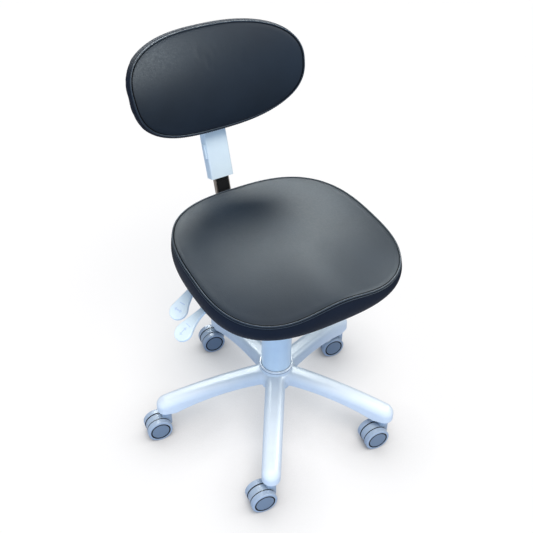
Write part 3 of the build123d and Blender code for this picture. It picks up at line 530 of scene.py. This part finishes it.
def puff(piece, seam, is_held, cap):
    """Cloth simulation of a cushion's cover, blown up from inside with its seam and underside held.

    A remeshed copy is simulated. Each point of the cushion then moves as the nearest points of the copy did,
    weighted by one over their distance and capped. It moves less near the seam, and not at all on it."""
    scene = bpy.context.scene
    copy = bpy.data.objects.new("cover_cloth", piece.data.copy())
    scene.collection.objects.link(copy)
    remesh = copy.modifiers.new("remesh", "REMESH")
    remesh.mode = "VOXEL"
    remesh.voxel_size = cloth_voxel
    copy.data = bpy.data.meshes.new_from_object(copy.evaluated_get(bpy.context.evaluated_depsgraph_get()))
    copy.modifiers.clear()
    rest = mesh_points(copy.data)
    held = is_held(rest / MM) | (nearest(seam * MM, rest, 1)[1][:, 0] < seam_hold)
    group = copy.vertex_groups.new(name="held")
    group.add(np.flatnonzero(held).tolist(), 1.0, "REPLACE")
    cloth = copy.modifiers.new("cover", "CLOTH")
    cloth.settings.vertex_group_mass = "held"
    cloth.settings.use_pressure = True
    cloth.settings.uniform_pressure_force = cloth_pressure
    cloth.settings.effector_weights.gravity = 0.0
    cloth.point_cache.frame_start = 1
    cloth.point_cache.frame_end = cloth_frames
    for number in range(1, cloth_frames + 1):
        scene.frame_set(number)
    move = mesh_points(copy.evaluated_get(bpy.context.evaluated_depsgraph_get()).data) - rest
    move *= np.minimum(1.0, cap / np.maximum(np.linalg.norm(move, axis=1, keepdims=True), 1e-9))
    places = mesh_points(piece.data)
    index, distance = nearest(rest, places, cloth_neighbours)
    weight = 1.0 / (distance + cloth_softening)
    shift = (move[index] * weight[..., None]).sum(axis=1) / weight.sum(axis=1, keepdims=True)
    away = np.clip((nearest(seam * MM, places, 1)[1] - seam_hold) / seam_fade, 0, 1)
    places += shift * away**2 * (3 - 2 * away)
    piece.data.vertices.foreach_set("co", places.ravel())
    piece.data.update()
    bpy.data.objects.remove(copy)
    scene.frame_set(1)


def mesh_points(mesh):
    """A mesh's points as an array of rows."""
    places = np.zeros(len(mesh.vertices) * 3)
    mesh.vertices.foreach_get("co", places)
    return places.reshape(-1, 3)


def nearest(targets, points, count):
    """Numbers and distances of the nearest targets of each point."""
    tree = kdtree.KDTree(len(targets))
    for number, target in enumerate(targets):
        tree.insert(target, number)
    tree.balance()
    found = [tree.find_n(point, count) for point in points]
    index = np.array([[hit[1] for hit in hits] for hits in found])
    return index, np.array([[hit[2] for hit in hits] for hits in found])


def tube(name, path, radius, body, finish, around=10):
    """Tube round a closed path: each ring lies across the path's tangent."""
    tangent = np.roll(path, -1, axis=0) - np.roll(path, 1, axis=0)
    tangent /= np.linalg.norm(tangent, axis=1, keepdims=True)
    side = np.cross(tangent, [0.0, 0.0, 1.0])
    side /= np.linalg.norm(side, axis=1, keepdims=True)
    up = np.cross(side, tangent)
    turn = np.linspace(0, 2 * np.pi, around, endpoint=False)
    rings = (
        path[:, None]
        + radius * np.cos(turn)[None, :, None] * side[:, None]
        + radius * np.sin(turn)[None, :, None] * up[:, None]
    )
    return skin(name, rings.reshape(-1, 3), ring_faces(len(path), around, wrap=True), body, finish)


def stitches(name, centres, tangents, normals, length, radius, body, finish, slot):
    """Short sunken capsules, one at each centre: rings along the tangent, narrowed at both ends."""
    along = np.array([-0.5, -0.36, -0.12, 0.12, 0.36, 0.5]) * length
    girth = np.array([0.25, 0.8, 1.0, 1.0, 0.8, 0.25]) * radius
    around = 6
    turn = np.linspace(0, 2 * np.pi, around, endpoint=False)
    across = np.cross(tangents, normals)
    points = (
        centres[:, None, None]
        + along[None, :, None, None] * tangents[:, None, None]
        + (girth[:, None] * np.cos(turn))[None, :, :, None] * across[:, None, None]
        + (girth[:, None] * np.sin(turn))[None, :, :, None] * normals[:, None, None]
    )
    each = len(along) * around
    faces = ring_faces(len(along), around)
    many = (faces[None] + (np.arange(len(centres)) * each)[:, None, None]).reshape(-1, 4).tolist()
    ends = np.arange(around)
    caps = [(ends[::-1] + n * each).tolist() for n in range(len(centres))]
    caps += [(ends + (n + 1) * each - around).tolist() for n in range(len(centres))]
    return skin(name, points.reshape(-1, 3), many + caps, body, finish)


def stitch_row(curve, pitch, beside):
    """Centres, tangents and outward normals at equal steps along a curve that lies on a cushion."""
    length = np.linalg.norm(np.roll(curve, -1, axis=0) - curve, axis=1).sum()
    row = even_loop(np.hstack([curve, beside]), int(length / pitch))
    tangent = np.roll(row[:, :3], -1, axis=0) - np.roll(row[:, :3], 1, axis=0)
    tangent /= np.linalg.norm(tangent, axis=1, keepdims=True)
    normal = row[:, 3:] - np.einsum("ij,ij->i", row[:, 3:], tangent)[:, None] * tangent
    return row[:, :3], tangent, normal / np.linalg.norm(normal, axis=1, keepdims=True)


def panel_shares(count):
    """Shares of the way from a panel's middle to its seam, closer near the seam: 1 - (1 - t)^1.5."""
    return 1 - (1 - np.linspace(middle_share, 1, count)) ** 1.5


def side_shares(count):
    """Shares of the way from the seam to a side's end, closer near both: (1 - cos(pi t)) / 2."""
    return 0.5 - 0.5 * np.cos(np.linspace(0, np.pi, count + 1))[1:]


def side_growth(share, draw_in, bulge):
    """How far a side stands out at a share of the way down: bulge sin(pi share)^power - draw_in share."""
    return -draw_in * share + bulge * np.sin(np.pi * share) ** side_power


def seat_rim(count):
    """Seat rim: x = a cos^(2/n), y = middle + b sin^(2/n), with b longer behind.

    With u = (y - middle) / reach, its height is level + slope u - bow u^2, and in front a bell over x adds
    height exp(-(x / width)^2) u^2."""
    turn = np.linspace(0, 2 * np.pi, curve_steps, endpoint=False)
    across = signed_power(np.cos(turn), 2 / seat_power)
    back = signed_power(np.sin(turn), 2 / seat_power)
    x = seat_half_width * across * (1 - seat_narrowing * back)
    y = seat_middle[1] + np.where(back > 0, seat_depth_rear, seat_depth_front) * back
    u = (y - seat_middle[1]) / seat_reach
    bell = np.where(u < 0, seat_bell_height * np.exp(-((x / seat_bell_width) ** 2)) * u**2, 0)
    z = seat_rim_level + seat_rim_slope * u - seat_rim_bow * u**2 + bell
    return even_loop(np.stack([x, y, z], axis=1), count)


def seat_panel(rim, share, rise):
    """Seat top at a share of the way from crown to rim: it falls with share^power and swells at the seam."""
    plan = seat_crown[:2] + share * (rim[:, :2] - seat_crown[:2])
    gap = (1 - share) * np.linalg.norm(rim[:, :2] - seat_crown[:2], axis=1)
    swell = rise * (1 - np.exp(-gap / seat_seam_reach))
    low_crown = seat_crown[2] - rise
    z = low_crown - (low_crown - rim[:, 2]) * share**seat_dish_power + swell
    return np.column_stack([plan, z])


def seat_band(rim, share):
    """Seat side at a share of the way down from the seam to the level foot."""
    grow = side_growth(share, seat_draw_in, seat_bulge)
    z = rim[:, 2] + (seat_foot - rim[:, 2]) * share
    return np.column_stack([rim[:, :2] + grow * outward(rim), z])


def back_rim(count):
    """Backrest rim in its own frame: a superellipse, a little wider at the top."""
    turn = np.linspace(0, 2 * np.pi, curve_steps, endpoint=False)
    up = signed_power(np.sin(turn), 2 / back_power)
    x = back_half_width * (1 + back_spread * up) * signed_power(np.cos(turn), 2 / back_power)
    return even_loop(np.stack([x, back_half_height * up], axis=1), count)


def front_level(x, v):
    """Front of the backrest: a roll that falls to top and foot with v^2, round an upright cylinder."""
    roll = back_crown - (back_crown - back_edge) * (v / back_half_height) ** 2
    axis = back_crown + back_wrap
    return axis - np.sqrt((axis - roll) ** 2 - x**2)


def wrapped_level(x, level, radius):
    """Level of an upright cylinder of that radius that touches level at x = 0."""
    return level + radius - np.sqrt(radius**2 - x**2)


def shell_front(x):
    """Level of the front of the shell behind the backrest's cushion."""
    return wrapped_level(x, shell_level + shell_thickness, shell_wrap)


def behind_shell_rim(points):
    """Whether points lie behind a surface a little in front of the shell."""
    offset = points - back_origin
    return offset @ back_front < shell_front(offset[:, 0]) + hold_height


def from_back_frame(x, v, level):
    """Points in the part's frame, from the backrest's own coordinates."""
    across = np.stack([x, 0 * x, 0 * x], -1)
    return back_origin + across + v[..., None] * back_up + level[..., None] * back_front


def back_ring(rim, grow, level):
    """The backrest's rim moved outward by grow, at a level towards the sitter, in the part's frame."""
    normal = outward(rim)
    return from_back_frame(rim[:, 0] + grow * normal[:, 0], rim[:, 1] + grow * normal[:, 1], level)


# Operators


class CHAIR_OT_seat_cushion(bpy.types.Operator):
    """Sews the seat cushion, its welt, its near-black lines of painted shade beside the seam and its stitches
    """

    bl_idname = "chair.seat_cushion"
    bl_label = "Seat cushion"

    def execute(self, context):
        sewing = context.scene.chair_upholstery
        rim = seat_rim(seat_steps)
        self.cushion(rim, sewing.seam_rise / MM)
        self.trim(rim, sewing.welt_radius / MM)
        drop = (rim[:, 2] - seat_foot).mean()
        facing = np.column_stack([outward(rim), np.full(len(rim), stitch_tilt)])
        row = stitch_row(seat_band(rim, seat_stitch_drop / drop), sewing.stitch_pitch / MM, facing)
        stitches("seat_stitches", *row, stitch_length, stitch_radius, "seat", "thread", "upholstery")
        return {"FINISHED"}

    def cushion(self, rim, rise):
        """Cushion: rings over the top, closer towards the seam, down the side and in over the foot."""
        panel = [seat_panel(rim, share, rise) for share in panel_shares(seat_panel_rings)]
        band = [seat_band(rim, share) for share in side_shares(seat_side_rings)]
        foot = band[-1]
        inner = [
            np.column_stack([seat_middle + share * (foot[:, :2] - seat_middle), foot[:, 2]])
            for share in (0.985, 0.8, 0.4, 0.02)
        ]
        cushion = closed_skin("seat_cushion", [*panel, *band, *inner], "seat", "cover")
        finish_shaded_side(cushion, "shaded_side_cover", len(panel), len(rim))
        puff(cushion, rim, lambda points: points[:, 2] < seat_foot + hold_height, seat_puff)
        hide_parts("seat_pad")

    def trim(self, rim, welt):
        """Welt on the seam, a near-black line of painted shade on both sides of it and a ridge below. Welt
        and ridge are painted lighter than the cover as a highlight.
        """
        flat = np.column_stack([outward(rim), np.zeros(len(rim))])
        path = rim + welt_out_share * welt * flat
        tube("seat_welt", path + [0, 0, welt_lift], welt, "seat", "welt")
        drop = (rim[:, 2] - seat_foot).mean()
        # Painted shade: near-black tubes beside the welt, where the seam's hollows would be dark
        for name, out, lift, share, radius, finish in (
            ("seat_upper_seam_shade", -1.9, 0.7, 0.0, 0.95, "painted_seam_shade"),
            ("seat_lower_seam_shade", 0.0, 0.0, 2.1 / drop, 0.85, "painted_seam_shade"),
            ("seat_ridge", 0.0, 0.0, 3.6 / drop, 0.9, "welt"),
        ):
            edge = seat_band(rim, share) + out * flat + [0, 0, lift]
            tube(name, edge, radius, "seat", finish, around=8)


class CHAIR_OT_back_cushion(bpy.types.Operator):
    """Sews the backrest cushion, its welt, its near-black lines of painted shade beside the seam and its
    stitches
    """

    bl_idname = "chair.back_cushion"
    bl_label = "Backrest cushion"

    def execute(self, context):
        sewing = context.scene.chair_upholstery
        rim = back_rim(back_steps)
        seam = front_level(*rim.T)
        self.cushion(rim, seam, sewing.seam_rise / MM)
        self.trim(rim, seam, sewing.welt_radius / MM)
        grow = side_growth(back_stitch_drop / (seam - shell_front(rim[:, 0])), back_draw_in, back_bulge)
        line = back_ring(rim, grow, seam - back_stitch_drop)
        facing = from_back_frame(*outward(rim).T, np.full(len(rim), stitch_tilt)) - back_origin
        row = stitch_row(line, sewing.stitch_pitch / MM, facing)
        stitches("back_stitches", *row, stitch_length, stitch_radius, "backrest", "thread", "upholstery")
        return {"FINISHED"}

    def cushion(self, rim, seam, rise):
        """Cushion: rings over the front, closer towards the seam, round the side and over the hollow rear."""
        x, v = rim.T
        reach = np.hypot(x, v)
        panel = []
        for share in panel_shares(back_panel_rings):
            swell = rise * (1 - np.exp(-(1 - share) * reach / back_seam_reach))
            panel.append(from_back_frame(share * x, share * v, front_level(share * x, share * v) + swell))
        rear = shell_front(x)
        band = []
        for share in side_shares(back_side_rings):
            grow = side_growth(share, back_draw_in, back_bulge)
            band.append(back_ring(rim, grow, seam + (rear - seam) * share))
        pocket_level = pad_rear_level + pocket_gap
        pocket = wrapped_level(x, pocket_level, pad_rear_wrap)
        lip = [back_ring(rim, back_lip, rear + (pocket - rear) * share) for share in (0.0, 0.5, 1.0)]
        for share in (0.9, 0.6, 0.3, middle_share):
            level = wrapped_level(share * x, pocket_level, pad_rear_wrap)
            lip.append(from_back_frame(share * x, share * v, level))
        cushion = closed_skin("back_cushion", [*panel, *band, *lip], "backrest", "cover")
        finish_shaded_side(cushion, "shaded_side_cover", len(panel), len(rim))
        puff(cushion, from_back_frame(x, v, seam), behind_shell_rim, back_puff)
        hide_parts("back_pad")

    def trim(self, rim, seam, welt):
        """Welt on the seam, a near-black line of painted shade on both sides of it and a ridge behind. Welt
        and ridge are painted lighter than the cover as a highlight.
        """
        edge = back_ring(rim, welt_out_share * welt, seam + welt_lift)
        tube("back_welt", edge, welt, "backrest", "welt")
        # Painted shade: near-black tubes beside the welt, where the seam's hollows would be dark
        for name, depth, out, radius, finish in (
            ("back_upper_seam_shade", -0.7, -1.9, 0.95, "painted_seam_shade"),
            ("back_lower_seam_shade", 2.0, 1.2, 0.85, "painted_seam_shade"),
            ("back_ridge", 3.4, 1.6, 0.9, "welt"),
        ):
            edge = back_ring(rim, out, seam - depth)
            tube(name, edge, radius, "backrest", finish, around=8)


class CHAIR_OT_finishes(bpy.types.Operator):
    """Mixes the finishes and gives each CAD node its own"""

    bl_idname = "chair.finishes"
    bl_label = "Finishes"

    def execute(self, context):
        sewing = context.scene.chair_upholstery
        paint = context.scene.chair_finish
        self.covers(tuple(sewing.cover_colour), sewing.cover_roughness)
        self.paints(tuple(paint.base_colour), tuple(paint.column_colour))
        self.plastics(tuple(paint.lever_colour), tuple(paint.caster_colour))
        self.rubber_and_board()
        self.steels()
        return {"FINISHED"}

    def covers(self, cover, roughness):
        """Leatherette of the tops, of the sides in a darker copy that is painted shade and of the welts in a
        lighter copy that is a painted highlight; the thread, and the near-black of the painted shade beside
        the seams.
        """
        dress(["seat_pad", "back_pad"], leatherette("cover", cover, roughness, 0.14))
        # Side cover: the cover's leatherette painted darker, as painted shade on the cushions' sides
        leatherette("shaded_side_cover", (0.009, 0.014, 0.026), roughness + 0.1, 0.06)
        # Welt and ridges: the cover's leatherette 1.6 times as light, a painted highlight on the cord and the
        # ridge
        leatherette("welt", tuple(1.6 * c for c in cover), roughness, 0.2)
        moulded("thread", tuple(0.35 * c for c in cover), 0.7, grain=900.0, specular=0.1)
        # Near-black finish of the painted shade beside the seams
        moulded("painted_seam_shade", (0.002, 0.003, 0.004), 0.8, grain=900.0, specular=0.05)

    def paints(self, base, column):
        """Sprayed paint of the base, the column, the housing and the column's foot. The column's paint is
        lighter and bluer, painted light against the seat's shade; the foot's bead is whiter, a painted
        highlight; its dark lines are painted shade.
        """
        dress(["base_star"], sprayed("base_paint", base, 0.42, coat=0.06, specular=0.36))
        # Column paint: lighter and bluer than the base's, painted light that makes up for the seat's shade
        dress(["column_tube"], sprayed("column_paint", column, 0.42, coat=0.2))
        housing = sprayed("housing_paint", (0.03, 0.033, 0.04), 0.4, coat=0.35)
        dress(["mechanism_housing", "seat_plate"], housing)
        # Bead paint: whiter than the base's, a painted highlight on the bead
        sprayed("bead_paint_with_painted_highlight", (0.92, 0.95, 0.98), 0.3, coat=0.5)
        sprayed("joint_shade", (0.16, 0.19, 0.24), 0.6)

    def plastics(self, lever, caster):
        """Moulded plastic of the levers, the carrier and the casters."""
        levers = moulded("lever_plastic", lever, 0.36)
        dress(["height_lever", "back_lever", "back_carrier", "height_button"], levers)
        dress([f"caster_{k}_fork" for k in caster_numbers], ribbed("hood_plastic", caster, 0.33))
        wheels = [f"caster_{k}_wheel_{side}" for k in caster_numbers for side in ("left", "right")]
        dress(wheels, moulded("caster_plastic", caster, 0.36, coat=0.1))
        moulded("cap_plastic", (0.17, 0.235, 0.325), 0.45)
        # Marks: a darker blue than the lever, painted shade of the raised marks
        moulded("mark_plastic_with_painted_shade", (0.62, 0.74, 0.92), 0.4)
        black = moulded("black_plastic", (0.007, 0.007, 0.008), 0.5, depth=0.0001, specular=0.15)
        dress(["back_shell", "stem_rack", "column_bush"], black)
        dress(["caster_stems"], moulded("stem_black", (0.05, 0.055, 0.065), 0.4))

    def rubber_and_board(self):
        """Rubber of the treads, the near-black of the rings of painted shade, and the painted boards behind
        the cushions.
        """
        moulded("tread_rubber", (0.37, 0.455, 0.57), 0.4)
        # Near-black of the painted shade rings in the wheels' groove and gap
        moulded("painted_shade_black", (0.004, 0.005, 0.006), 0.6, specular=0.15)
        board = moulded("painted_board", (0.02, 0.02, 0.022), 0.7, grain=260.0, depth=0.0002)
        dress(["seat_shell", "back_board"], board)

    def steels(self):
        """Bright, flat and turned steel."""
        dress(["gas_cylinder", "gas_rod"], brushed("bright_steel", (0.75, 0.76, 0.78), 0.18))
        dress(["back_stem"], brushed("bar_steel", (0.42, 0.38, 0.35), 0.35, along=(1.0, 0.1, 0.1)))
        turned = brushed("turned_steel", (0.5, 0.5, 0.52), 0.3, along=(0.1, 1.0, 1.0))
        dress(["seat_bolts", "back_bolts", "rod_clip", "thrust_bearing", "release_pin"], turned)
        dress(["lever_pins", "lever_spring", "tilt_pin", "friction_washers"], turned)
        dress([f"caster_{k}_axle" for k in caster_numbers], turned)


class CHAIR_OT_column_foot(bpy.types.Operator):
    """Lays the bead round the column's foot, whiter than the base as a painted highlight, and dark lines of
    painted shade at the joint and the groove
    """

    bl_idname = "chair.column_foot"
    bl_label = "Column foot"

    def execute(self, context):
        turn = np.linspace(0, 2 * np.pi, 96, endpoint=False)
        circle = np.column_stack([np.cos(turn), np.sin(turn), np.zeros(len(turn))])
        # The bead is whiter than the base as a painted highlight; the joint and the groove are dark lines of
        # painted shade
        for name, radius, height, girth, finish, slot in (
            ("foot_bead", 32.5, 141.3, 2.0, "bead_paint_with_painted_highlight", "silver_paint"),
            ("foot_joint", 30.2, 142.1, 0.4, "joint_shade", "silver_paint"),
            ("foot_groove", 33.5, 137.6, 0.5, "joint_shade", "silver_paint"),
        ):
            tube(name, radius * circle + [0, 0, height], girth, "base", finish)
        return {"FINISHED"}


class CHAIR_OT_wheel_details(bpy.types.Operator):
    """Moulds the grooved treads and caps of the casters' wheels, with black rings of painted shade round each
    cap and in the gap between tread and hood
    """

    bl_idname = "chair.wheel_details"
    bl_label = "Wheel details"

    def execute(self, context):
        grooves = context.scene.chair_finish.tread_grooves
        for k in caster_numbers:
            for side in ("left", "right"):
                joint = joints[f"caster_{k}_{side}_spin"]
                body = f"caster_{k}_{side}"
                centre = np.array(joint["pos_m"]) / MM
                axis = np.array(joint["axis"], float)
                low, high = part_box(f"caster_{k}_wheel_{side}")
                if np.dot((np.array(low) + np.array(high)) / 2 / MM - centre, axis) < 0:
                    axis = -axis
                self.tread(f"tread_{k}_{side}", centre, axis, body, grooves, f"caster_{k}_tyre_{side}")
                # Black ring of painted shade in the groove round the cap
                self.ring(f"ring_{k}_{side}", centre, axis, body)
                self.gap_shade(f"gasket_{k}_{side}", centre, axis, body)
                self.cap(f"cap_{k}_{side}", centre, axis, body)
        return {"FINISHED"}

    def spin(self, centre, axis, radii, heights, around=72):
        """Rings of a profile turned about the axle: radius and height along the axle are arrays."""
        flat = np.cross(axis, [0.0, 0.0, 1.0])
        turn = np.linspace(0, 2 * np.pi, around, endpoint=False)[None, :, None]
        return (
            centre
            + np.asarray(heights)[:, None, None] * axis
            + np.asarray(radii)[:, None, None] * (np.cos(turn) * flat + np.sin(turn) * np.cross(axis, flat))
        )

    def tread(self, name, centre, axis, body, grooves, node):
        """Tread: a band with round shoulders, less narrow grooves cos(pi grooves s)^8, closed by its bore."""
        s = np.linspace(-1, 1, 65)
        shoulder = tread_shoulder * np.clip((np.abs(s) - 0.72) / 0.28, 0, 1) ** 2.4
        lines = groove_depth * np.maximum(0, np.cos(np.pi * grooves * s)) ** 8 * (np.abs(s) < 0.8)
        radii = np.concatenate([tread_radius - shoulder - lines, [tread_bore, tread_bore]])
        heights = tread_middle + tread_half_width * s
        heights = np.concatenate([heights, heights[-1:], heights[:1]])
        rings = self.spin(centre, axis, radii, heights)
        faces = ring_faces(len(radii), rings.shape[1], wrap=True)
        tread = skin(name, rings.reshape(-1, 3), faces, body, "tread_rubber", sharp=50)
        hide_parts(node)

    def ring(self, name, centre, axis, body):
        """Black ring of painted shade in the groove round the cap and over its edge: a flattened torus."""
        turn = np.linspace(0, 2 * np.pi, 12, endpoint=False)
        radii = groove_shade_radius + groove_shade_half_width * np.cos(turn)
        heights = groove_shade_level + groove_shade_half_height * np.sin(turn)
        rings = self.spin(centre, axis, radii, heights, around=64)
        faces = ring_faces(len(turn), rings.shape[1], wrap=True)
        skin(name, rings.reshape(-1, 3), faces, body, "painted_shade_black")

    def gap_shade(self, name, centre, axis, body):
        """Black ring of painted shade in the gap between tread and hood: a flat ring with a rectangular
        section.
        """
        inner, outer = gap_shade_radii
        low, high = gap_shade_levels
        rings = self.spin(centre, axis, [inner, outer, outer, inner], [low, low, high, high])
        faces = ring_faces(len(rings), rings.shape[1], wrap=True)
        skin(name, rings.reshape(-1, 3), faces, body, "painted_shade_black", sharp=40)

    def cap(self, name, centre, axis, body):
        """Cap: a slightly domed disc that rolls over at its rim, given as shares of its radius and rises."""
        share = np.array([0.03, 0.3, 0.6, 0.85, 0.93, 0.97, 1.0, 1.0, 0.5, 0.03])
        rise = np.array([0.9, 0.87, 0.76, 0.62, 0.56, 0.48, 0.2, -0.5, -0.5, -0.5])
        rings = self.spin(centre, axis, cap_radius * share, cap_level + rise, around=64)
        closed_skin(name, rings, body, "cap_plastic", sharp=45)


class CHAIR_OT_lever_marks(bpy.types.Operator):
    """Raises a plain arrow and a bar on each lever's paddle, in a darker blue that is painted shade of the
    raised marks
    """

    bl_idname = "chair.lever_marks"
    bl_label = "Lever marks"

    def execute(self, context):
        half_arrow = [
            (-arrow_tip, 0.0),
            (-arrow_neck, arrow_barb),
            (-arrow_neck, arrow_shaft),
            (arrow_neck, arrow_shaft),
            (arrow_neck, arrow_barb),
        ]
        arrow = np.array([*half_arrow, *[(-x, -y) for x, y in half_arrow]])
        bar = np.array([(-1, -1), (-1, 1), (1, 1), (1, -1)]) * [bar_half_width, bar_half_height]
        for name, centre, heading, body, points in (
            ("height", (-206.34, -20.1, 339.89), (-0.990, -0.139), "height_lever", arrow),
            ("tilt", (-189.61, 34.9, 339.92), (-0.941, -0.339), "back_lever", arrow[:, ::-1]),
        ):
            self.raise_plate(f"{name}_arrow", points, centre, heading, body)
            self.raise_plate(f"{name}_bar", bar + [bar_place, 0], centre, heading, body)
        return {"FINISHED"}

    def raise_plate(self, name, outline, centre, heading, body):
        """Flat plate that stands a little proud of the blade, whose top falls along its heading."""
        along = np.array([heading[0] * cos(blade_fall), heading[1] * cos(blade_fall), -sin(blade_fall)])
        top = np.array([heading[0] * sin(blade_fall), heading[1] * sin(blade_fall), cos(blade_fall)])
        plan = centre + outline @ np.stack([along, np.cross(top, along)])
        count = len(plan)
        faces = [*ring_faces(2, count).tolist(), list(range(count))[::-1], list(range(count, 2 * count))]
        points = np.vstack([plan - mark_sunk * top, plan + mark_proud * top])
        skin(name, points, faces, body, "mark_plastic_with_painted_shade", sharp=30)


class CHAIR_OT_studio(bpy.types.Operator):
    """Sets up the floor, the world, the lamps and the camera"""

    bl_idname = "chair.studio"
    bl_label = "Studio"

    def execute(self, context):
        studio = context.scene.chair_studio
        self.floor()
        self.world(context)
        self.key(studio.key_strength)
        self.softbox("back_box", (0.52, 1.38, 1.75), (0.0, 0.0, 0.45), 142.0, 1.7, 0.7)
        self.softbox("side_box", (1.4, -0.42, 1.6), (0.0, 0.27, 0.65), 76.0, 1.0, 1.0)
        self.low_fill()
        self.flag()
        self.camera(context, studio)
        context.scene.view_settings.view_transform = "Standard"
        return {"FINISHED"}

    def floor(self):
        """White floor that glows to the eye and takes the object's shadow. Its glow is dimmed close under the
        object, a painted contact shadow.
        """
        half = 8.0
        corners = [(-half, -half, 0), (half, -half, 0), (half, half, 0), (-half, half, 0)]
        mesh = bpy.data.meshes.new("floor")
        mesh.from_pydata(corners, [], [(0, 1, 2, 3)])
        finish = bpy.data.materials.new("floor_white")
        finish.use_nodes = True
        tree = finish.node_tree
        tree.nodes.clear()
        seen = seen_rays(tree)
        tones = {"Factor": seen, "A": (0.36, 0.44, 0.6, 1), "B": (0.97, 0.935, 0.915, 1)}
        tone = add_node(tree, "ShaderNodeMix", tones, data_type="RGBA").outputs["Result"]
        matt = add_node(tree, "ShaderNodeBsdfDiffuse", {"Color": tone}).outputs[0]
        # Painted contact shadow: the floor's glow dims where ambient occlusion finds the object close
        painted_shadow_openness = add_node(tree, "ShaderNodeAmbientOcclusion", {"Distance": 0.12}, samples=12).outputs["AO"]
        strength = calculate(tree, "POWER", painted_shadow_openness, 1.5)
        glow = add_node(tree, "ShaderNodeEmission", {"Color": (1, 1, 1, 1), "Strength": strength}).outputs[0]
        glow_share = calculate(tree, "MULTIPLY", seen, 0.58)
        both = add_node(tree, "ShaderNodeMixShader", {0: glow_share, 1: matt, 2: glow}).outputs[0]
        add_node(tree, "ShaderNodeOutputMaterial", {"Surface": both})
        mesh.materials.append(finish)
        floor = bpy.data.objects.new("floor", mesh)
        bpy.context.scene.collection.objects.link(floor)

    def flag(self):
        """Dark card that only shows in reflections: an arc behind and right of the chair, rising outward."""
        turn = np.radians(np.linspace(-35, 115, 31))
        way = np.column_stack([np.cos(turn), np.sin(turn), np.zeros(len(turn))])
        count = len(turn)
        points = np.vstack([0.62 * way + [0, 0, 0.004], 2.1 * way + [0, 0, 1.2]]).tolist()
        faces = [(n, n + 1, count + n + 1, count + n) for n in range(count - 1)]
        mesh = bpy.data.meshes.new("flag")
        mesh.from_pydata(points, [], faces)
        mesh.materials.append(new_finish("flag_cloth", (0.02, 0.02, 0.02), 0.9, Specular_IOR_Level=0.0)[0])
        flag = bpy.data.objects.new("flag", mesh)
        bpy.context.scene.collection.objects.link(flag)
        flag.visible_camera = flag.visible_diffuse = flag.visible_shadow = flag.visible_transmission = False

    def world(self, context):
        """World that is white to the eye and a soft pale blue fill to the object."""
        world = bpy.data.worlds.new("studio")
        context.scene.world = world
        world.use_nodes = True
        tree = world.node_tree
        tree.nodes.clear()
        fill = add_node(tree, "ShaderNodeBackground", {"Color": (0.7, 0.84, 1.0, 1), "Strength": 0.53})
        white = add_node(tree, "ShaderNodeBackground", {"Color": (1, 1, 1, 1), "Strength": 1.0})
        parts = {0: seen_rays(tree), 1: fill.outputs[0], 2: white.outputs[0]}
        both = add_node(tree, "ShaderNodeMixShader", parts)
        add_node(tree, "ShaderNodeOutputWorld", {"Surface": both.outputs[0]})

    def lamp(self, name, kind, place, aim, strength, colour, **settings):
        """Lamp at a place that shines towards its aim."""
        light = bpy.data.lights.new(name, kind)
        light.energy = strength
        light.color = colour
        for setting, value in settings.items():
            setattr(light, setting, value)
        lamp = bpy.data.objects.new(name, light)
        bpy.context.scene.collection.objects.link(lamp)
        lamp.location = place
        lamp.rotation_euler = (Vector(aim) - Vector(place)).to_track_quat("-Z", "Y").to_euler()
        return lamp

    def key(self, strength):
        """Warm, very soft sun from above the sitter's side."""
        warm = (1.0, 0.94, 0.87)
        self.lamp("key", "SUN", (-0.35, -1.1, 2.8), (0.0, 0.0, 0.1), strength, warm, angle=radians(34))

    def softbox(self, name, place, aim, strength, width, height):
        """Large lamp that only shows as a soft reflection."""
        pale = (0.94, 1.0, 0.98)
        sizes = {"shape": "RECTANGLE", "size": width, "size_y": height}
        box = self.lamp(name, "AREA", place, aim, strength, pale, **sizes)
        box.visible_diffuse = False

    def low_fill(self):
        """Low blue lamp for the column and the near sides of the arms. It doesn't show as a reflection."""
        blue = (0.5, 0.7, 1.0)
        place = (-1.0, -1.3, 0.45)
        box = self.lamp("low_fill", "AREA", place, (0.0, 0.0, 0.22), 6.0, blue, shape="SQUARE", size=0.8)
        box.visible_glossy = False

    def camera(self, context, studio):
        """Camera at the photograph's angle: tilt, roll and heading, then a turn about the line of sight."""
        lens = bpy.data.cameras.new("view")
        lens.sensor_width = 36.0
        lens.lens = studio.focal_length
        camera = bpy.data.objects.new("view", lens)
        context.scene.collection.objects.link(camera)
        heading = Euler(studio.camera_turn, "XYZ").to_matrix()
        roll = Euler((0, 0, studio.camera_roll), "XYZ").to_matrix()
        camera.rotation_euler = (heading @ roll).to_euler()
        camera.location = studio.camera_place
        context.scene.camera = camera


class CHAIR_PT_panel(bpy.types.Panel):
    """Lists the chair's settings and its steps"""

    bl_idname = "CHAIR_PT_panel"
    bl_label = "Clinic chair"
    bl_space_type = "VIEW_3D"
    bl_region_type = "UI"
    bl_category = "Clinic chair"

    def draw(self, context):
        for group in (context.scene.chair_upholstery, context.scene.chair_finish, context.scene.chair_studio):
            for name in group.__annotations__:
                self.layout.prop(group, name)
        for step in steps:
            self.layout.operator(step.bl_idname)


groups = {"chair_upholstery": ChairUpholstery, "chair_finish": ChairFinish, "chair_studio": ChairStudio}
steps = (
    CHAIR_OT_finishes,
    CHAIR_OT_seat_cushion,
    CHAIR_OT_back_cushion,
    CHAIR_OT_column_foot,
    CHAIR_OT_wheel_details,
    CHAIR_OT_lever_marks,
    CHAIR_OT_studio,
)


def register():
    for kind in (*groups.values(), *steps, CHAIR_PT_panel):
        bpy.utils.register_class(kind)
    for name, kind in groups.items():
        setattr(bpy.types.Scene, name, bpy.props.PointerProperty(type=kind))


def unregister():
    for name in groups:
        delattr(bpy.types.Scene, name)
    for kind in (CHAIR_PT_panel, *reversed(steps), *groups.values()):
        bpy.utils.unregister_class(kind)


def main():
    """Registers the add-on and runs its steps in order."""
    register()
    for step in steps:
        family, name = step.bl_idname.split(".")
        getattr(getattr(bpy.ops, family), name)()


if __name__ == "__main__":
    main()
